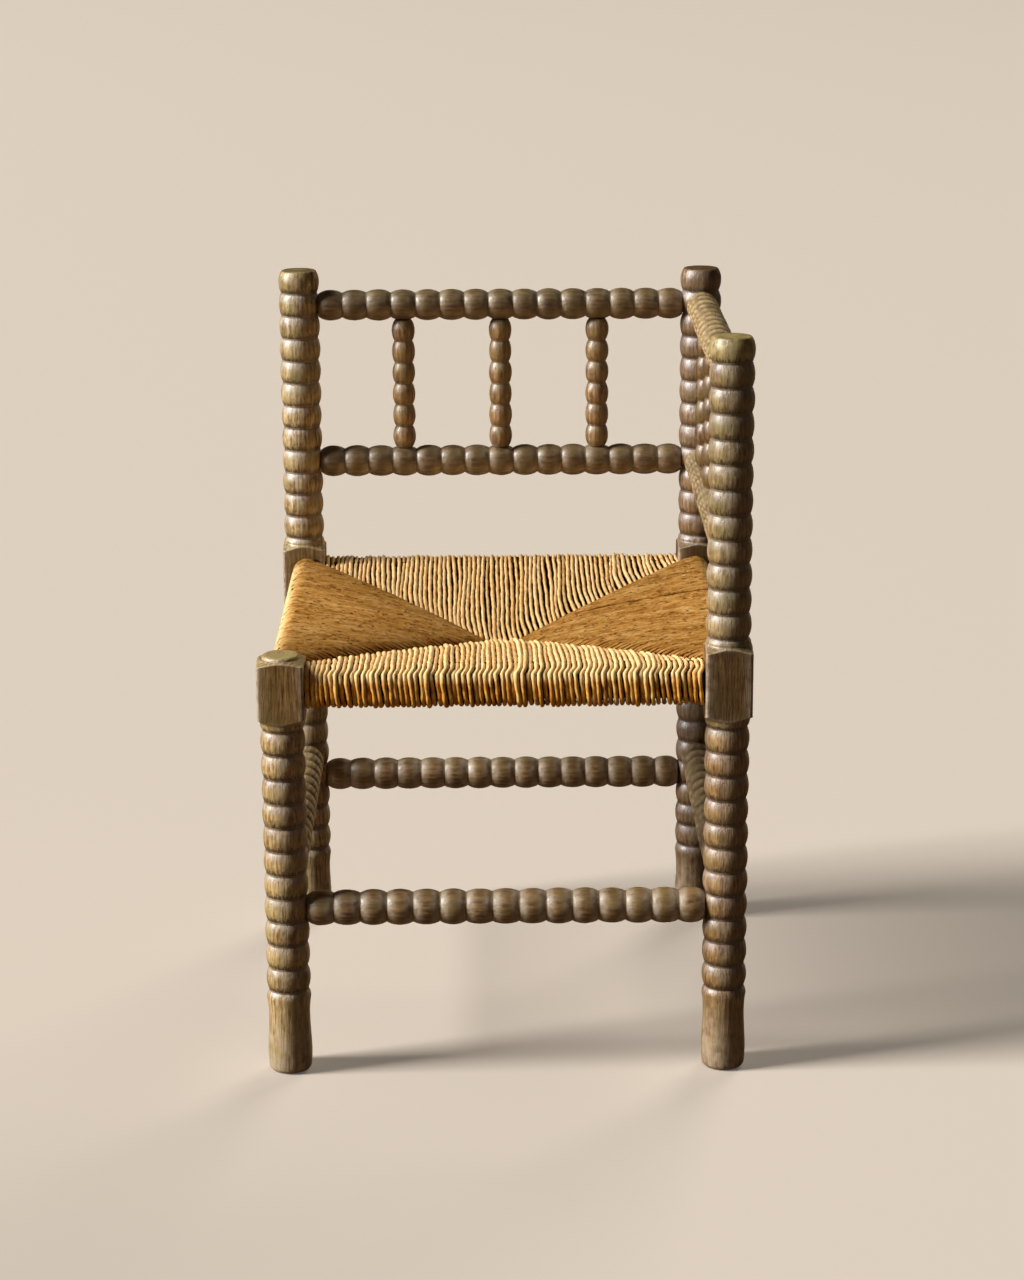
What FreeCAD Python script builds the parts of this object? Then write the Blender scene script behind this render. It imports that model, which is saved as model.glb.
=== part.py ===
"""Bobbin-turned corner chair with a rush seat: a joined frame of separate turned pieces.

Millimetres. The floor is z = 0 and +Z is up. The open front faces -Y, the back stands at +Y and the
arm side at +X. The origin is on the floor, midway between the four legs.
"""
import FreeCAD
import Part

import math
import os

from FreeCAD import Vector

# Plan, between the axes of the posts
post_spacing_x = 440.0
post_spacing_y = 440.0

# Square blocks left on the posts, whose faces stand proud of the beads
block_proud = 1.05
block_edge_radius = 2.2
block_height = 70.6
short_block_height = 60.6
shoulder_rise = 4.5
shoulder_run = 3.5

# Posts, from the floor up
foot_height = 87.0
foot_radius = 21.6
foot_waist_depth = 0.9
foot_edge_radius = 4.0
foot_shoulder_length = 8.3
post_crown_radius = 22.2
post_groove_depth = 2.7
leg_bead_count = 11
leg_bead_pitch = 24.9
lower_collar_height = 11.0
upper_collar_height = 9.6
upper_bead_count = 11
upper_bead_pitch = 24.85
top_bead_height = 25.5
top_face_radius = 18.0
top_dome = 1.2

# Button on top of the short leg
button_radius = 19.0
button_height = 3.2
button_bevel = 2.2
button_rim_width = 2.4

# Rails of the back and of the arm side
rail_bead_count = 15
rail_crown_radius = 17.0
rail_groove_depth = 3.5
rail_end_radius = 12.0
rail_tenon_radius = 7.5
top_rail_bead_number = 2
lower_rail_bead_number = 9
rail_drop = 2.0

# Stretchers between the legs
stretcher_bead_count = 15
stretcher_crown_radius = 17.8
stretcher_groove_depth = 3.2
stretcher_end_radius = 13.0
stretcher_tenon_radius = 8.0
stretcher_tenon_length = 15.0
front_stretcher_bead_number = 8
side_stretcher_bead_number = 7
stretcher_drop = 1.5

# Spindles between the rails, each on a rail bead
spindle_beads = (4, 8, 12)
spindle_bead_count = 6
spindle_crown_radius = 12.5
spindle_groove_depth = 2.9
spindle_end_radius = 8.8
spindle_tenon_radius = 5.0
spindle_tenon_length = 9.0

# Seat rails, measured across the grain
front_rail_thickness = 28.0
side_rail_thickness = 22.0
seat_rail_height = 28.0
side_rail_inset = 3.0
front_rail_rise = 32.8
side_rail_rise = 38.8
seat_tenon_radius = 8.0
seat_rail_round_limit = 0.48

# Rush seat
cord_diameter = 5.2
roll_radius = 16.0
under_roll_radius = 13.0
crest_packing = 4.7
seat_dip = 39.0
centre_stuffing_thickness = 3.0
bridge_width = 18.0

# Fits
tenon_fit = 0.1
mortise_slack = 1.0
tenon_gap = 0.6
tenon_chamfer = 1.0
flat_depth = 1.8
flat_margin = 1.5
spindle_flat_depth = 1.0
rush_clearance = 0.3

# Shape of a bobbin's outline, as shares of its own depth and half length
bead_swell = 0.66
bead_lead = 0.30
bead_crown_reach = 0.36
collar_crown_share = 0.6
top_crown_share = 0.48

# Heights and distances that follow
leg_beads_top = foot_height + leg_bead_count * leg_bead_pitch
block_bottom = leg_beads_top + lower_collar_height
block_top = block_bottom + block_height
short_block_top = block_bottom + short_block_height
upper_beads_bottom = block_top + upper_collar_height
upper_beads_top = upper_beads_bottom + upper_bead_count * upper_bead_pitch
post_top = upper_beads_top + top_bead_height
post_groove_radius = post_crown_radius - post_groove_depth
block_half = post_crown_radius + block_proud
block_width = 2 * block_half
beyond_block_corner = block_half * math.sqrt(2) + shoulder_rise
half_x = post_spacing_x / 2
half_y = post_spacing_y / 2
flat_radius = post_crown_radius - flat_depth
rail_length_x = post_spacing_x - 2 * flat_radius
rail_length_y = post_spacing_y - 2 * flat_radius
rail_tenon_length = flat_radius - rail_tenon_radius - tenon_gap
front_rail_z = block_bottom + front_rail_rise
side_rail_z = block_bottom + side_rail_rise
rush_lift = rush_clearance + cord_diameter
seat_crest = front_rail_z + seat_rail_height / 2 + rush_lift + crest_packing
seat_centre_top = seat_crest - seat_dip
seat_centre_bottom = seat_centre_top - centre_stuffing_thickness - 2 * rush_lift


def upper_bead_z(number):
    """Middle of a bead above the seat, counted down from the top bead as number 1."""
    return upper_beads_top - (number - 1.5) * upper_bead_pitch


def leg_bead_z(number):
    """Middle of a bead below the seat, counted down from the block."""
    return leg_beads_top - (number - 0.5) * leg_bead_pitch


top_rail_z = upper_bead_z(top_rail_bead_number) - rail_drop
lower_rail_z = upper_bead_z(lower_rail_bead_number) - rail_drop
front_stretcher_z = leg_bead_z(front_stretcher_bead_number) - stretcher_drop
side_stretcher_z = leg_bead_z(side_stretcher_bead_number) - stretcher_drop


class Turning:
    """Outline of a turned piece, drawn upwards from its axis, as radius and height."""

    def __init__(self, z):
        self.edges = []
        self.start = Vector(0, 0, z)
        self.end = self.start

    def line(self, radius, z):
        target = Vector(radius, 0, z)
        self.edges.append(Part.LineSegment(self.end, target).toShape())
        self.end = target

    def curve(self, *poles):
        """A smooth curve from the present point, steered by all poles and ending on the last."""
        points = [Vector(radius, 0, z) for radius, z in poles]
        bezier = Part.BezierCurve()
        bezier.setPoles([self.end] + points)
        self.edges.append(bezier.toShape())
        self.end = points[-1]

    def swell(self, crown_radius, crown_z):
        """Half a bobbin, from the present groove up to its crown."""
        groove = self.end
        depth = crown_radius - groove.x
        reach = crown_z - groove.z
        self.curve(
            (groove.x + bead_swell * depth, groove.z + bead_lead * reach),
            (crown_radius, crown_z - bead_crown_reach * reach),
            (crown_radius, crown_z),
        )

    def fall(self, groove_radius, groove_z):
        """Half a bobbin, from the present crown to the groove above it."""
        crown = self.end
        depth = crown.x - groove_radius
        reach = groove_z - crown.z
        self.curve(
            (crown.x, crown.z + bead_crown_reach * reach),
            (groove_radius + bead_swell * depth, groove_z - bead_lead * reach),
            (groove_radius, groove_z),
        )

    def beads(self, count, pitch, crown_radius, groove_radius, last_radius=None):
        """A run of bobbins, each ending in a groove, the last one at last_radius if it is given."""
        for number in range(1, count + 1):
            base = self.end.z
            is_last = number == count and last_radius is not None
            self.swell(crown_radius, base + pitch / 2)
            self.fall(last_radius if is_last else groove_radius, base + pitch)

    def solid(self):
        if self.end.x > 0:
            self.line(0, self.end.z)
        axis = Part.LineSegment(self.end, self.start).toShape()
        outline = Part.Face(Part.Wire(self.edges + [axis]))
        return outline.revolve(Vector(0, 0, 0), Vector(0, 0, 1), 360)


def square_stock(height):
    """Square bar on the post's axis, with eased long edges."""
    bar = Part.makeBox(block_width, block_width, height, Vector(-block_half, -block_half, 0))
    long_edges = [edge for edge in bar.Edges if abs(edge.Vertexes[0].Z - edge.Vertexes[1].Z) > 1]
    return bar.makeFillet(block_edge_radius, long_edges)


def leg_outline():
    """Outline of any leg from the floor to the lower shoulder of its block."""
    turning = Turning(0)
    turning.line(foot_radius - foot_edge_radius, 0)
    turning.curve((foot_radius, 0), (foot_radius, foot_edge_radius))
    waist = foot_radius - 2 * foot_waist_depth
    ankle = foot_height - foot_shoulder_length
    turning.curve((waist, (foot_edge_radius + ankle) / 2), (post_crown_radius, ankle))
    turning.fall(post_groove_radius, foot_height)
    turning.beads(leg_bead_count, leg_bead_pitch, post_crown_radius, post_groove_radius)
    turning.swell(post_crown_radius, leg_beads_top + lower_collar_height * collar_crown_share)
    turning.curve(
        (post_crown_radius, block_bottom - shoulder_rise / 2),
        (block_half + shoulder_run, block_bottom + shoulder_rise / 2),
        (beyond_block_corner, block_bottom + shoulder_rise),
    )
    return turning


def tall_post():
    """Leg, block and beaded upper post in one turning."""
    turning = leg_outline()
    turning.line(beyond_block_corner, block_top - shoulder_rise)
    turning.curve(
        (block_half + shoulder_run, block_top - shoulder_rise / 2),
        (post_crown_radius, block_top + shoulder_rise / 2),
        (post_crown_radius, upper_beads_bottom - upper_collar_height * collar_crown_share),
    )
    turning.fall(post_groove_radius, upper_beads_bottom)
    turning.beads(upper_bead_count, upper_bead_pitch, post_crown_radius, post_groove_radius)
    crown_z = upper_beads_top + top_bead_height * top_crown_share
    turning.swell(post_crown_radius, crown_z)
    rim_z = post_top - top_dome
    turning.curve(
        (post_crown_radius, (crown_z + rim_z) / 2),
        (top_face_radius + top_dome, rim_z),
        (top_face_radius, rim_z),
    )
    turning.curve((top_face_radius / 2, post_top), (0, post_top))
    return turning_in_square(turning, post_top)


def short_leg():
    """Leg that ends just above the seat in a block with a turned button."""
    turning = leg_outline()
    turning.line(beyond_block_corner, short_block_top - shoulder_rise)
    rim_z = short_block_top + button_bevel / 2
    turning.curve(
        (block_half + shoulder_run, short_block_top - shoulder_rise / 2),
        (block_half, short_block_top),
        (button_radius + button_rim_width, rim_z),
    )
    turning.line(button_radius, rim_z)
    button_top = rim_z + button_height
    turning.curve(
        (button_radius, button_top - button_bevel / 2),
        (button_radius - button_bevel, button_top),
    )
    return turning_in_square(turning, button_top)


def turning_in_square(turning, height):
    """The turned outline, kept to the square bar where it is wider than that."""
    return turning.solid().common(square_stock(height))


def beaded_bar(length, bead_count, crown_radius, groove_depth, end_radius, tenon_radius, tenon_length):
    """Bobbin-turned bar along Z, centred on its visible length, with a round tenon at each end."""
    groove_radius = crown_radius - groove_depth
    turning = Turning(-length / 2 - tenon_length)
    turning.line(tenon_radius - tenon_chamfer, turning.end.z)
    turning.line(tenon_radius, turning.end.z + tenon_chamfer)
    turning.line(tenon_radius, -length / 2)
    turning.line(end_radius, -length / 2)
    turning.beads(bead_count, length / bead_count, crown_radius, groove_radius, end_radius)
    turning.line(tenon_radius, length / 2)
    turning.line(tenon_radius, length / 2 + tenon_length - tenon_chamfer)
    turning.line(tenon_radius - tenon_chamfer, length / 2 + tenon_length)
    return turning.solid()


def laid_along(shape, axis, centre):
    """Turns a piece that stands on Z to lie along X or Y, and sets its middle at centre."""
    if axis == "X":
        shape.rotate(Vector(0, 0, 0), Vector(0, 1, 0), 90)
    if axis == "Y":
        shape.rotate(Vector(0, 0, 0), Vector(1, 0, 0), -90)
    shape.translate(centre)
    return shape


def round_socket(mouth, direction, tenon_radius, tenon_length):
    """Blind mortise for a round tenon, cut from its mouth along direction."""
    depth = tenon_length + mortise_slack
    return Part.makeCylinder(tenon_radius + tenon_fit, depth, mouth, direction)


def seated_socket(mouth, direction, shoulder_radius, tenon_radius, tenon_length):
    """Blind mortise, with a round flat at its mouth for the shoulder of the tenon."""
    flat = Part.makeCylinder(shoulder_radius + flat_margin, block_width, mouth, direction * -1)
    return [flat, round_socket(mouth, direction, tenon_radius, tenon_length)]


def post_sockets(corner_x, corner_y, has_rails_x, has_rails_y):
    """Cutters for every mortise in the post at one corner; a corner is given as two signs."""
    axis_x = corner_x * half_x
    axis_y = corner_y * half_y
    out_x = Vector(corner_x, 0, 0)
    out_y = Vector(0, corner_y, 0)

    def mouth_x(distance, z):
        return Vector(axis_x - corner_x * distance, axis_y, z)

    def mouth_y(distance, z, inset=0.0):
        return Vector(axis_x - corner_x * inset, axis_y - corner_y * distance, z)

    stretcher = (stretcher_end_radius, stretcher_tenon_radius, stretcher_tenon_length)
    rail = (rail_end_radius, rail_tenon_radius, rail_tenon_length)
    cutters = []
    cutters += seated_socket(mouth_x(flat_radius, front_stretcher_z), out_x, *stretcher)
    cutters += seated_socket(mouth_y(flat_radius, side_stretcher_z), out_y, *stretcher)
    front_mouth = mouth_x(block_half, front_rail_z)
    side_mouth = mouth_y(block_half, side_rail_z, side_rail_inset)
    cutters.append(round_socket(front_mouth, out_x, seat_tenon_radius, seat_tenon_length("X")))
    cutters.append(round_socket(side_mouth, out_y, seat_tenon_radius, seat_tenon_length("Y")))
    for rail_z in (top_rail_z, lower_rail_z):
        if has_rails_x:
            cutters += seated_socket(mouth_x(flat_radius, rail_z), out_x, *rail)
        if has_rails_y:
            cutters += seated_socket(mouth_y(flat_radius, rail_z), out_y, *rail)
    return cutters


def make_posts():
    """The short leg and the three tall posts, each with its mortises."""
    corners = {
        "front_left_leg": (-1, -1, False, False),
        "front_right_post": (1, -1, False, True),
        "back_left_post": (-1, 1, True, False),
        "back_right_post": (1, 1, True, True),
    }
    posts = {}
    for name, (corner_x, corner_y, has_rails_x, has_rails_y) in corners.items():
        post = short_leg() if name == "front_left_leg" else tall_post()
        post.translate(Vector(corner_x * half_x, corner_y * half_y, 0))
        posts[name] = post.cut(post_sockets(corner_x, corner_y, has_rails_x, has_rails_y))
    return posts


def spindle_places(length):
    """Distances of the spindles from the middle of a rail, each under the middle of its bead."""
    pitch = length / rail_bead_count
    return [(number - 0.5) * pitch - length / 2 for number in spindle_beads]


def beaded_rail(length, spindle_side):
    """Rail along Z with spindle mortises on its +X or -X side, as spindle_side says."""
    rail = beaded_bar(
        length, rail_bead_count, rail_crown_radius, rail_groove_depth,
        rail_end_radius, rail_tenon_radius, rail_tenon_length,
    )
    seat = spindle_side * (rail_crown_radius - spindle_flat_depth)
    cutters = []
    for place in spindle_places(length):
        cutters += seated_socket(
            Vector(seat, 0, place), Vector(-spindle_side, 0, 0),
            spindle_end_radius, spindle_tenon_radius, spindle_tenon_length,
        )
    return rail.cut(cutters)


def make_rail_frame(prefix, axis, length, line):
    """Two rails and the spindles between them, along X or Y; line is the point below their middle."""
    flat = rail_crown_radius - spindle_flat_depth
    visible = top_rail_z - lower_rail_z - 2 * flat
    frame = {}
    for name, z, upward in (("top_rail", top_rail_z, False), ("lower_rail", lower_rail_z, True)):
        # Laid along X, the bar's +X side turns to -Z. Along Y it needs a quarter turn first for that.
        rail = beaded_rail(length, -1 if upward else 1)
        if axis == "Y":
            rail.rotate(Vector(0, 0, 0), Vector(0, 0, 1), 90)
        frame[f"{prefix}_{name}"] = laid_along(rail, axis, line + Vector(0, 0, z))
    for number, place in enumerate(spindle_places(length), start=1):
        spindle = beaded_bar(
            visible, spindle_bead_count, spindle_crown_radius, spindle_groove_depth,
            spindle_end_radius, spindle_tenon_radius, spindle_tenon_length,
        )
        along = Vector(place, 0, 0) if axis == "X" else Vector(0, place, 0)
        spindle.translate(line + along + Vector(0, 0, (top_rail_z + lower_rail_z) / 2))
        frame[f"{prefix}_spindle_{number}"] = spindle
    return frame


def make_stretchers():
    """Four beaded stretchers, the side ones one bead higher than the front and back ones."""
    places = {
        "front_stretcher": ("X", rail_length_x, Vector(0, -half_y, front_stretcher_z)),
        "back_stretcher": ("X", rail_length_x, Vector(0, half_y, front_stretcher_z)),
        "left_stretcher": ("Y", rail_length_y, Vector(-half_x, 0, side_stretcher_z)),
        "right_stretcher": ("Y", rail_length_y, Vector(half_x, 0, side_stretcher_z)),
    }
    stretchers = {}
    for name, (axis, length, centre) in places.items():
        bar = beaded_bar(
            length, stretcher_bead_count, stretcher_crown_radius, stretcher_groove_depth,
            stretcher_end_radius, stretcher_tenon_radius, stretcher_tenon_length,
        )
        stretchers[name] = laid_along(bar, axis, centre)
    return stretchers


def seat_tenon_length(axis):
    """Tenon of a seat rail that stops short of the tenon crossing it in the same block."""
    crossing_inset = side_rail_inset if axis == "X" else 0.0
    return block_half - crossing_inset - seat_tenon_radius - tenon_gap


def seat_rail(axis, length, thickness):
    """Rounded seat rail along X with a round tenon at each end."""
    corner = Vector(-length / 2, -thickness / 2, -seat_rail_height / 2)
    body = Part.makeBox(length, thickness, seat_rail_height, corner)
    long_edges = [edge for edge in body.Edges if abs(edge.Vertexes[0].X - edge.Vertexes[1].X) > 1]
    widest_round = min(thickness, seat_rail_height) * seat_rail_round_limit
    rail = body.makeFillet(min(roll_radius - rush_lift, widest_round), long_edges)
    reach = length / 2 + seat_tenon_length(axis)
    tenon = Part.makeCylinder(seat_tenon_radius, 2 * reach, Vector(-reach, 0, 0), Vector(1, 0, 0))
    return rail.fuse(tenon).removeSplitter()


class SeatSide:
    """One side of the seat, in its own frame: x along the rail, y inward from the line of post axes."""

    def __init__(self, name, turn, axis, line_distance, run, depth, apex_width):
        self.name = name
        self.turn = turn
        self.axis = axis
        self.line_distance = line_distance
        self.half_run = run / 2 - block_half
        self.depth = depth
        self.apex_half = apex_width / 2
        self.thickness = front_rail_thickness if axis == "X" else side_rail_thickness
        self.inset = 0.0 if axis == "X" else side_rail_inset
        self.rail_z = front_rail_z if axis == "X" else side_rail_z
        self.face = self.inset - self.thickness / 2 - rush_lift
        self.bottom = self.rail_z - seat_rail_height / 2 - rush_lift
        self.crest = self.rail_z + seat_rail_height / 2 + rush_lift + crest_packing

    def top_at(self, y):
        share = (y - self.face) / (self.depth - self.face)
        return self.crest + share * (seat_centre_top - self.crest)

    def bottom_at(self, y):
        share = (y - self.face) / (self.depth - self.face)
        return self.bottom + share * (seat_centre_bottom - self.bottom)

    def prism(self, corners):
        """Extrudes an outline of (y, z) corners along the whole rail."""
        points = [Vector(-self.half_run, y, z) for y, z in corners]
        face = Part.Face(Part.makePolygon(points + points[:1]))
        return face.extrude(Vector(2 * self.half_run, 0, 0))

    def rolled_prism(self, depth_in, high_radius, low_radius):
        """Section of the rush, depth_in below its surface, with its outer edges rolled."""
        y0 = self.face + depth_in
        corners = [
            (y0, self.bottom_at(y0) + depth_in),
            (y0, self.top_at(y0) - depth_in),
            (self.depth, seat_centre_top - depth_in),
            (self.depth, seat_centre_bottom + depth_in),
        ]
        block = self.prism(corners)
        rolled = block.makeFillet(high_radius, [self.edge_at(block, corners[1])])
        return rolled.makeFillet(low_radius, [self.edge_at(rolled, corners[0])])

    def edge_at(self, shape, corner):
        """The long edge of a prism that runs through a corner of its section."""
        y, z = corner
        target = Vector(0, y, z)
        long_edges = [edge for edge in shape.Edges if edge.BoundBox.XLength > self.half_run]
        return min(long_edges, key=lambda edge: edge.CenterOfMass.distanceToPoint(target))

    def plan(self, margin, y_from):
        """Upright prism of the side's plan: straight past the blocks, then mitred to the middle."""
        edge = self.half_run - margin
        apex = max(self.apex_half - margin, margin)
        right = [(edge, y_from), (edge, block_half - margin), (apex, self.depth - margin)]
        corners = right + [(-x, y) for x, y in reversed(right)]
        low = seat_centre_bottom - block_width
        points = [Vector(x, y, low) for x, y in corners]
        face = Part.Face(Part.makePolygon(points + points[:1]))
        return face.extrude(Vector(0, 0, block_height + block_width * 2))

    def placed(self, shape):
        shape.translate(Vector(0, -self.line_distance, 0))
        shape.rotate(Vector(0, 0, 0), Vector(0, 0, 1), self.turn)
        return shape

    def rail(self):
        body = seat_rail(self.axis, 2 * self.half_run, self.thickness)
        body.translate(Vector(0, self.inset, self.rail_z))
        return self.placed(body)

    def rush(self):
        """Rush cord wound over the rail as one skin: a rolled edge, a top and an underside."""
        outer = self.rolled_prism(0.0, roll_radius, under_roll_radius)
        inner_roll = roll_radius - cord_diameter
        inner_under_roll = under_roll_radius - cord_diameter
        pocket = self.rolled_prism(cord_diameter, inner_roll, inner_under_roll)
        skin = outer.cut(pocket).common(self.plan(rush_clearance, self.face))
        return self.placed(skin)

    def stuffing(self):
        """Wad of dry stuffing behind the rail, between the upper and lower rush."""
        y0 = self.inset + self.thickness / 2 + rush_clearance
        inside = cord_diameter + rush_clearance
        wad = self.prism(
            [
                (y0, self.bottom_at(y0) + inside),
                (y0, self.top_at(y0) - inside),
                (self.depth, seat_centre_top - inside),
                (self.depth, seat_centre_bottom + inside),
            ]
        )
        return self.placed(wad.common(self.plan(2 * rush_clearance, y0)))


def make_seat():
    """Seat rails, rush over each of them, and the stuffing in the pockets."""
    reach_x = half_x - bridge_width / 2
    sides = [
        SeatSide("front", 0, "X", half_y, post_spacing_x, half_y, bridge_width),
        SeatSide("right", 90, "Y", half_x, post_spacing_y, reach_x, 0.0),
        SeatSide("back", 180, "X", half_y, post_spacing_x, half_y, bridge_width),
        SeatSide("left", 270, "Y", half_x, post_spacing_y, reach_x, 0.0),
    ]
    seat = {}
    for side in sides:
        seat[f"{side.name}_seat_rail"] = side.rail()
        seat[f"{side.name}_rush"] = side.rush()
    seat["rush_stuffing"] = Part.makeCompound([side.stuffing() for side in sides])
    return seat


def make_chair():
    nodes = make_posts()
    nodes.update(make_rail_frame("back", "X", rail_length_x, Vector(0, half_y, 0)))
    nodes.update(make_rail_frame("arm", "Y", rail_length_y, Vector(half_x, 0, 0)))
    nodes.update(make_stretchers())
    nodes.update(make_seat())
    return nodes


os.makedirs("parts", exist_ok=True)
for node, shape in make_chair().items():
    shape.exportStep(f"parts/{node}.step")
    print(node, len(shape.Solids), shape.isValid(), round(shape.Volume / 1000, 1), "cm3")
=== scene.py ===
"""Looks of the bobbin corner chair: hand-turned, waxed wood and a rush seat wound cord by cord.

Metres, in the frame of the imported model: +Z up, the open front at -Y, the back at +Y and
the arm side at +X.
"""

import math
from dataclasses import dataclass, replace

import bpy
import numpy as np
from mathutils import Matrix, Vector


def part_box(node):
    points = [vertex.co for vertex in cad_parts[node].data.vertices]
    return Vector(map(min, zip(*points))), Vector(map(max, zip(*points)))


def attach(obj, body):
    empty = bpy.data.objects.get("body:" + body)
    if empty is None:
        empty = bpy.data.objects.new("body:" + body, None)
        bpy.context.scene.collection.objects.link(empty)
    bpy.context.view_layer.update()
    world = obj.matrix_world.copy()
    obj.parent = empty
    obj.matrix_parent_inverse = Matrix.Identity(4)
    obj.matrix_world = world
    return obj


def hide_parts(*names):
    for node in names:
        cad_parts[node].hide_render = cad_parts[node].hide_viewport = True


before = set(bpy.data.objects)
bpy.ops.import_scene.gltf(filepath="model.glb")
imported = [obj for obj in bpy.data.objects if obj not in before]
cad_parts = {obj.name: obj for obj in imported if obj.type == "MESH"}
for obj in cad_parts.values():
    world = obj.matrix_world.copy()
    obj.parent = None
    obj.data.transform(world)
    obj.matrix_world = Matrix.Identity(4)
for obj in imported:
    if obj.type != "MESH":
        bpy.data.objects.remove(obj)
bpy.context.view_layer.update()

# The one body, on which every piece rides
ROOT = "root"

# Image and camera, at the eye point of the photograph
IMAGE_LONG_SIDE = 1280
CAMERA_PLACE = (-0.0199, -3.1547, 1.2533)
CAMERA_ANGLES = (0.531, -15.313, -0.277)
CAMERA_FOCAL_PIXELS = 3099.8
SENSOR_LONG_SIDE = 36.0

# Posts, from the floor up
FOOT_HEIGHT = 0.0870
FOOT_RADIUS = 0.0216
FOOT_WAIST = 0.0009
FOOT_FLARE = 0.0008
FOOT_EDGE = 0.0070
FOOT_SHOULDER = 0.0083
POST_CROWN = 0.0222
POST_GROOVE = 0.0027
POST_BEADS = 11
LEG_PITCH = 0.0249
UPPER_PITCH = 0.02485
LOWER_COLLAR = 0.0110
UPPER_COLLAR = 0.0096
TOP_BEAD = 0.0255
TOP_FACE = 0.0180
TOP_DOME = 0.0012
BLOCK_HEIGHT = 0.0706
SHORT_BLOCK_HEIGHT = 0.0606
BLOCK_EDGE = 0.0028
SHOULDER_RISE = 0.0045
SHOULDER_RUN = 0.0035
BUTTON_RADIUS = 0.0190
BUTTON_HEIGHT = 0.0032
BUTTON_BEVEL = 0.0022
BUTTON_RIM = 0.0024

# Beaded bars
BAR_BEADS = 15
RAIL_GROOVE = 0.0035
RAIL_END = 0.0120
STRETCHER_GROOVE = 0.0032
STRETCHER_END = 0.0130
SPINDLE_BEADS = 6
SPINDLE_GROOVE = 0.0029
SPINDLE_END = 0.0088
POST_FLAT = 0.0018
SPINDLE_FLAT = 0.0010

# Outline of a bobbin, as shares of its own depth and half length: swell, lead and crown
BEAD_SHAPE = (0.66, 0.30, 0.32)
BAR_SHAPE = (0.75, 0.29, 0.30)
COLLAR_CROWN = 0.60
TOP_CROWN = 0.48

# Fineness of a turned piece: points along its curves and round its axis, and rows of its map
BEAD_STEPS = 7
EDGE_STEPS = 8
SHOULDER_STEPS = 18
BLOCK_STEPS = 16
TOP_STEPS = 10
RIM_STEPS = 4
POST_QUARTER = 36
POST_GATHER = 1.4
BAR_SIDES = 72
SPINDLE_SIDES = 56
LONG_BANDS = 2

# Start and length of what a tube uses of its map row, along it and across it
MAP_START, MAP_LENGTH = 0.02, 0.94
MAP_BASE, MAP_HEIGHT = 0.05, 0.90

# Seeds, counted up from piece to piece
POST_SEED = 11
RAIL_SEED = 31
STRETCHER_SEED = 41
SPINDLE_SEEDS = {"back": 51, "arm": 61}
RUSH_SEED = 71
STUFFING_SEED = 5

# Marks of hand turning and of use
CROWN_JITTER = 0.00025
GROOVE_JITTER = 0.00035
PITCH_JITTER = 0.00035
OVAL_SHARE = 0.006
DENT_SIZE = (0.0012, 0.0040)
DENT_DEPTH = (0.0001, 0.0005)
POST_DENTS = 60
BAR_DENTS = 30
SPINDLE_DENTS = 8
ARRIS_WEAR = 0.00035
ARCH_WEAR = 0.0012
FOOT_WEAR = 0.85
# Shoulders of lying bars: wear, and a painted highlight where the light would catch them
RIM_WEAR_AND_HIGHLIGHT = (0.22, 0.57)
HANDLED_FADE = 0.0030
END_GRAIN_TONE = -3.0

# Wood: ranges for the place of the pith, heights where a leg's tint ends, and colours
PITH = ((0.02, 0.05), (-0.04, 0.04), (0, 5))
LEG_FADE = (0.350, 0.372)
WOOD_STOPS = (0.385, 0.50, 0.625)
POLISHED = (0.48, 0.38, 0.135)
PORE = (0.040, 0.022, 0.009)
FRINGE = (0.050, 0.026, 0.009)
# Pale wear, also a painted highlight on the shoulders of bars
WORN_AND_HIGHLIT = (0.50, 0.40, 0.28)
# Grime, and painted shade, deep in the grooves
GROOVE_GRIME_AND_SHADE = (0.022, 0.012, 0.005)
WHITE = (1.0, 1.0, 1.0)

# Rush
CORD_RADIUS = 0.00225
CORDS_PER_SIDE = 75
CORD_SIDES = 10
RUSH_LIFT = 0.0055
CREST_PACKING = 0.0047
ROLL_RADIUS = 0.0160
UNDER_ROLL_RADIUS = 0.0130
ARC_STEPS = (6, 14, 10, 4)
CREST_STEP = 9
RUN_STEP = 0.0045
CENTRE_DEPTH = 0.0140
BRIDGE_WIDTH = 0.0180
BRIDGE_OVERLAP = 0.0020
BRIDGE_TURN = 0.0060
BRIDGE_DIVE = 0.25
TUCK_DEPTH = 0.0120
KINK_SHIFT = 0.0038
KINK_RUN = 0.0060
KINK_EASE = 4
LEAN_RUN = 0.0600
TIP_RUN = 0.0160
# Run from each cord's mitre end over which the rush grows darker towards that end
CENTRE_DARKENING_RUN = 0.1500
MITRE_ROLL = 0.0250
# Width of the worn crest with its painted highlight, and the run beside a block whose shade keeps
# that highlight off
CREST_BAND = 0.0070
BLOCK_SHADE_RUN = 0.0300
SUNKEN_DEPTH = 0.0011
RUSH_STOPS = (0.38, 0.50, 0.64)
SCRATCH = (0.86, 0.62, 0.31)
# Worn crest, with a painted highlight on it
CREST_WEAR_AND_HIGHLIGHT = (0.98, 0.74, 0.36)
# Dark dashes: marks on the rush, and painted shade of the gaps between cords
DASH_AND_GAP_SHADE = (0.13, 0.050, 0.009)
# Painted shade on the flanks of the cords and in the gaps between them
FLANK_SHADE = (0.32, 0.118, 0.017)
GAP_SHADE = (0.022, 0.008, 0.002)

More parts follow.
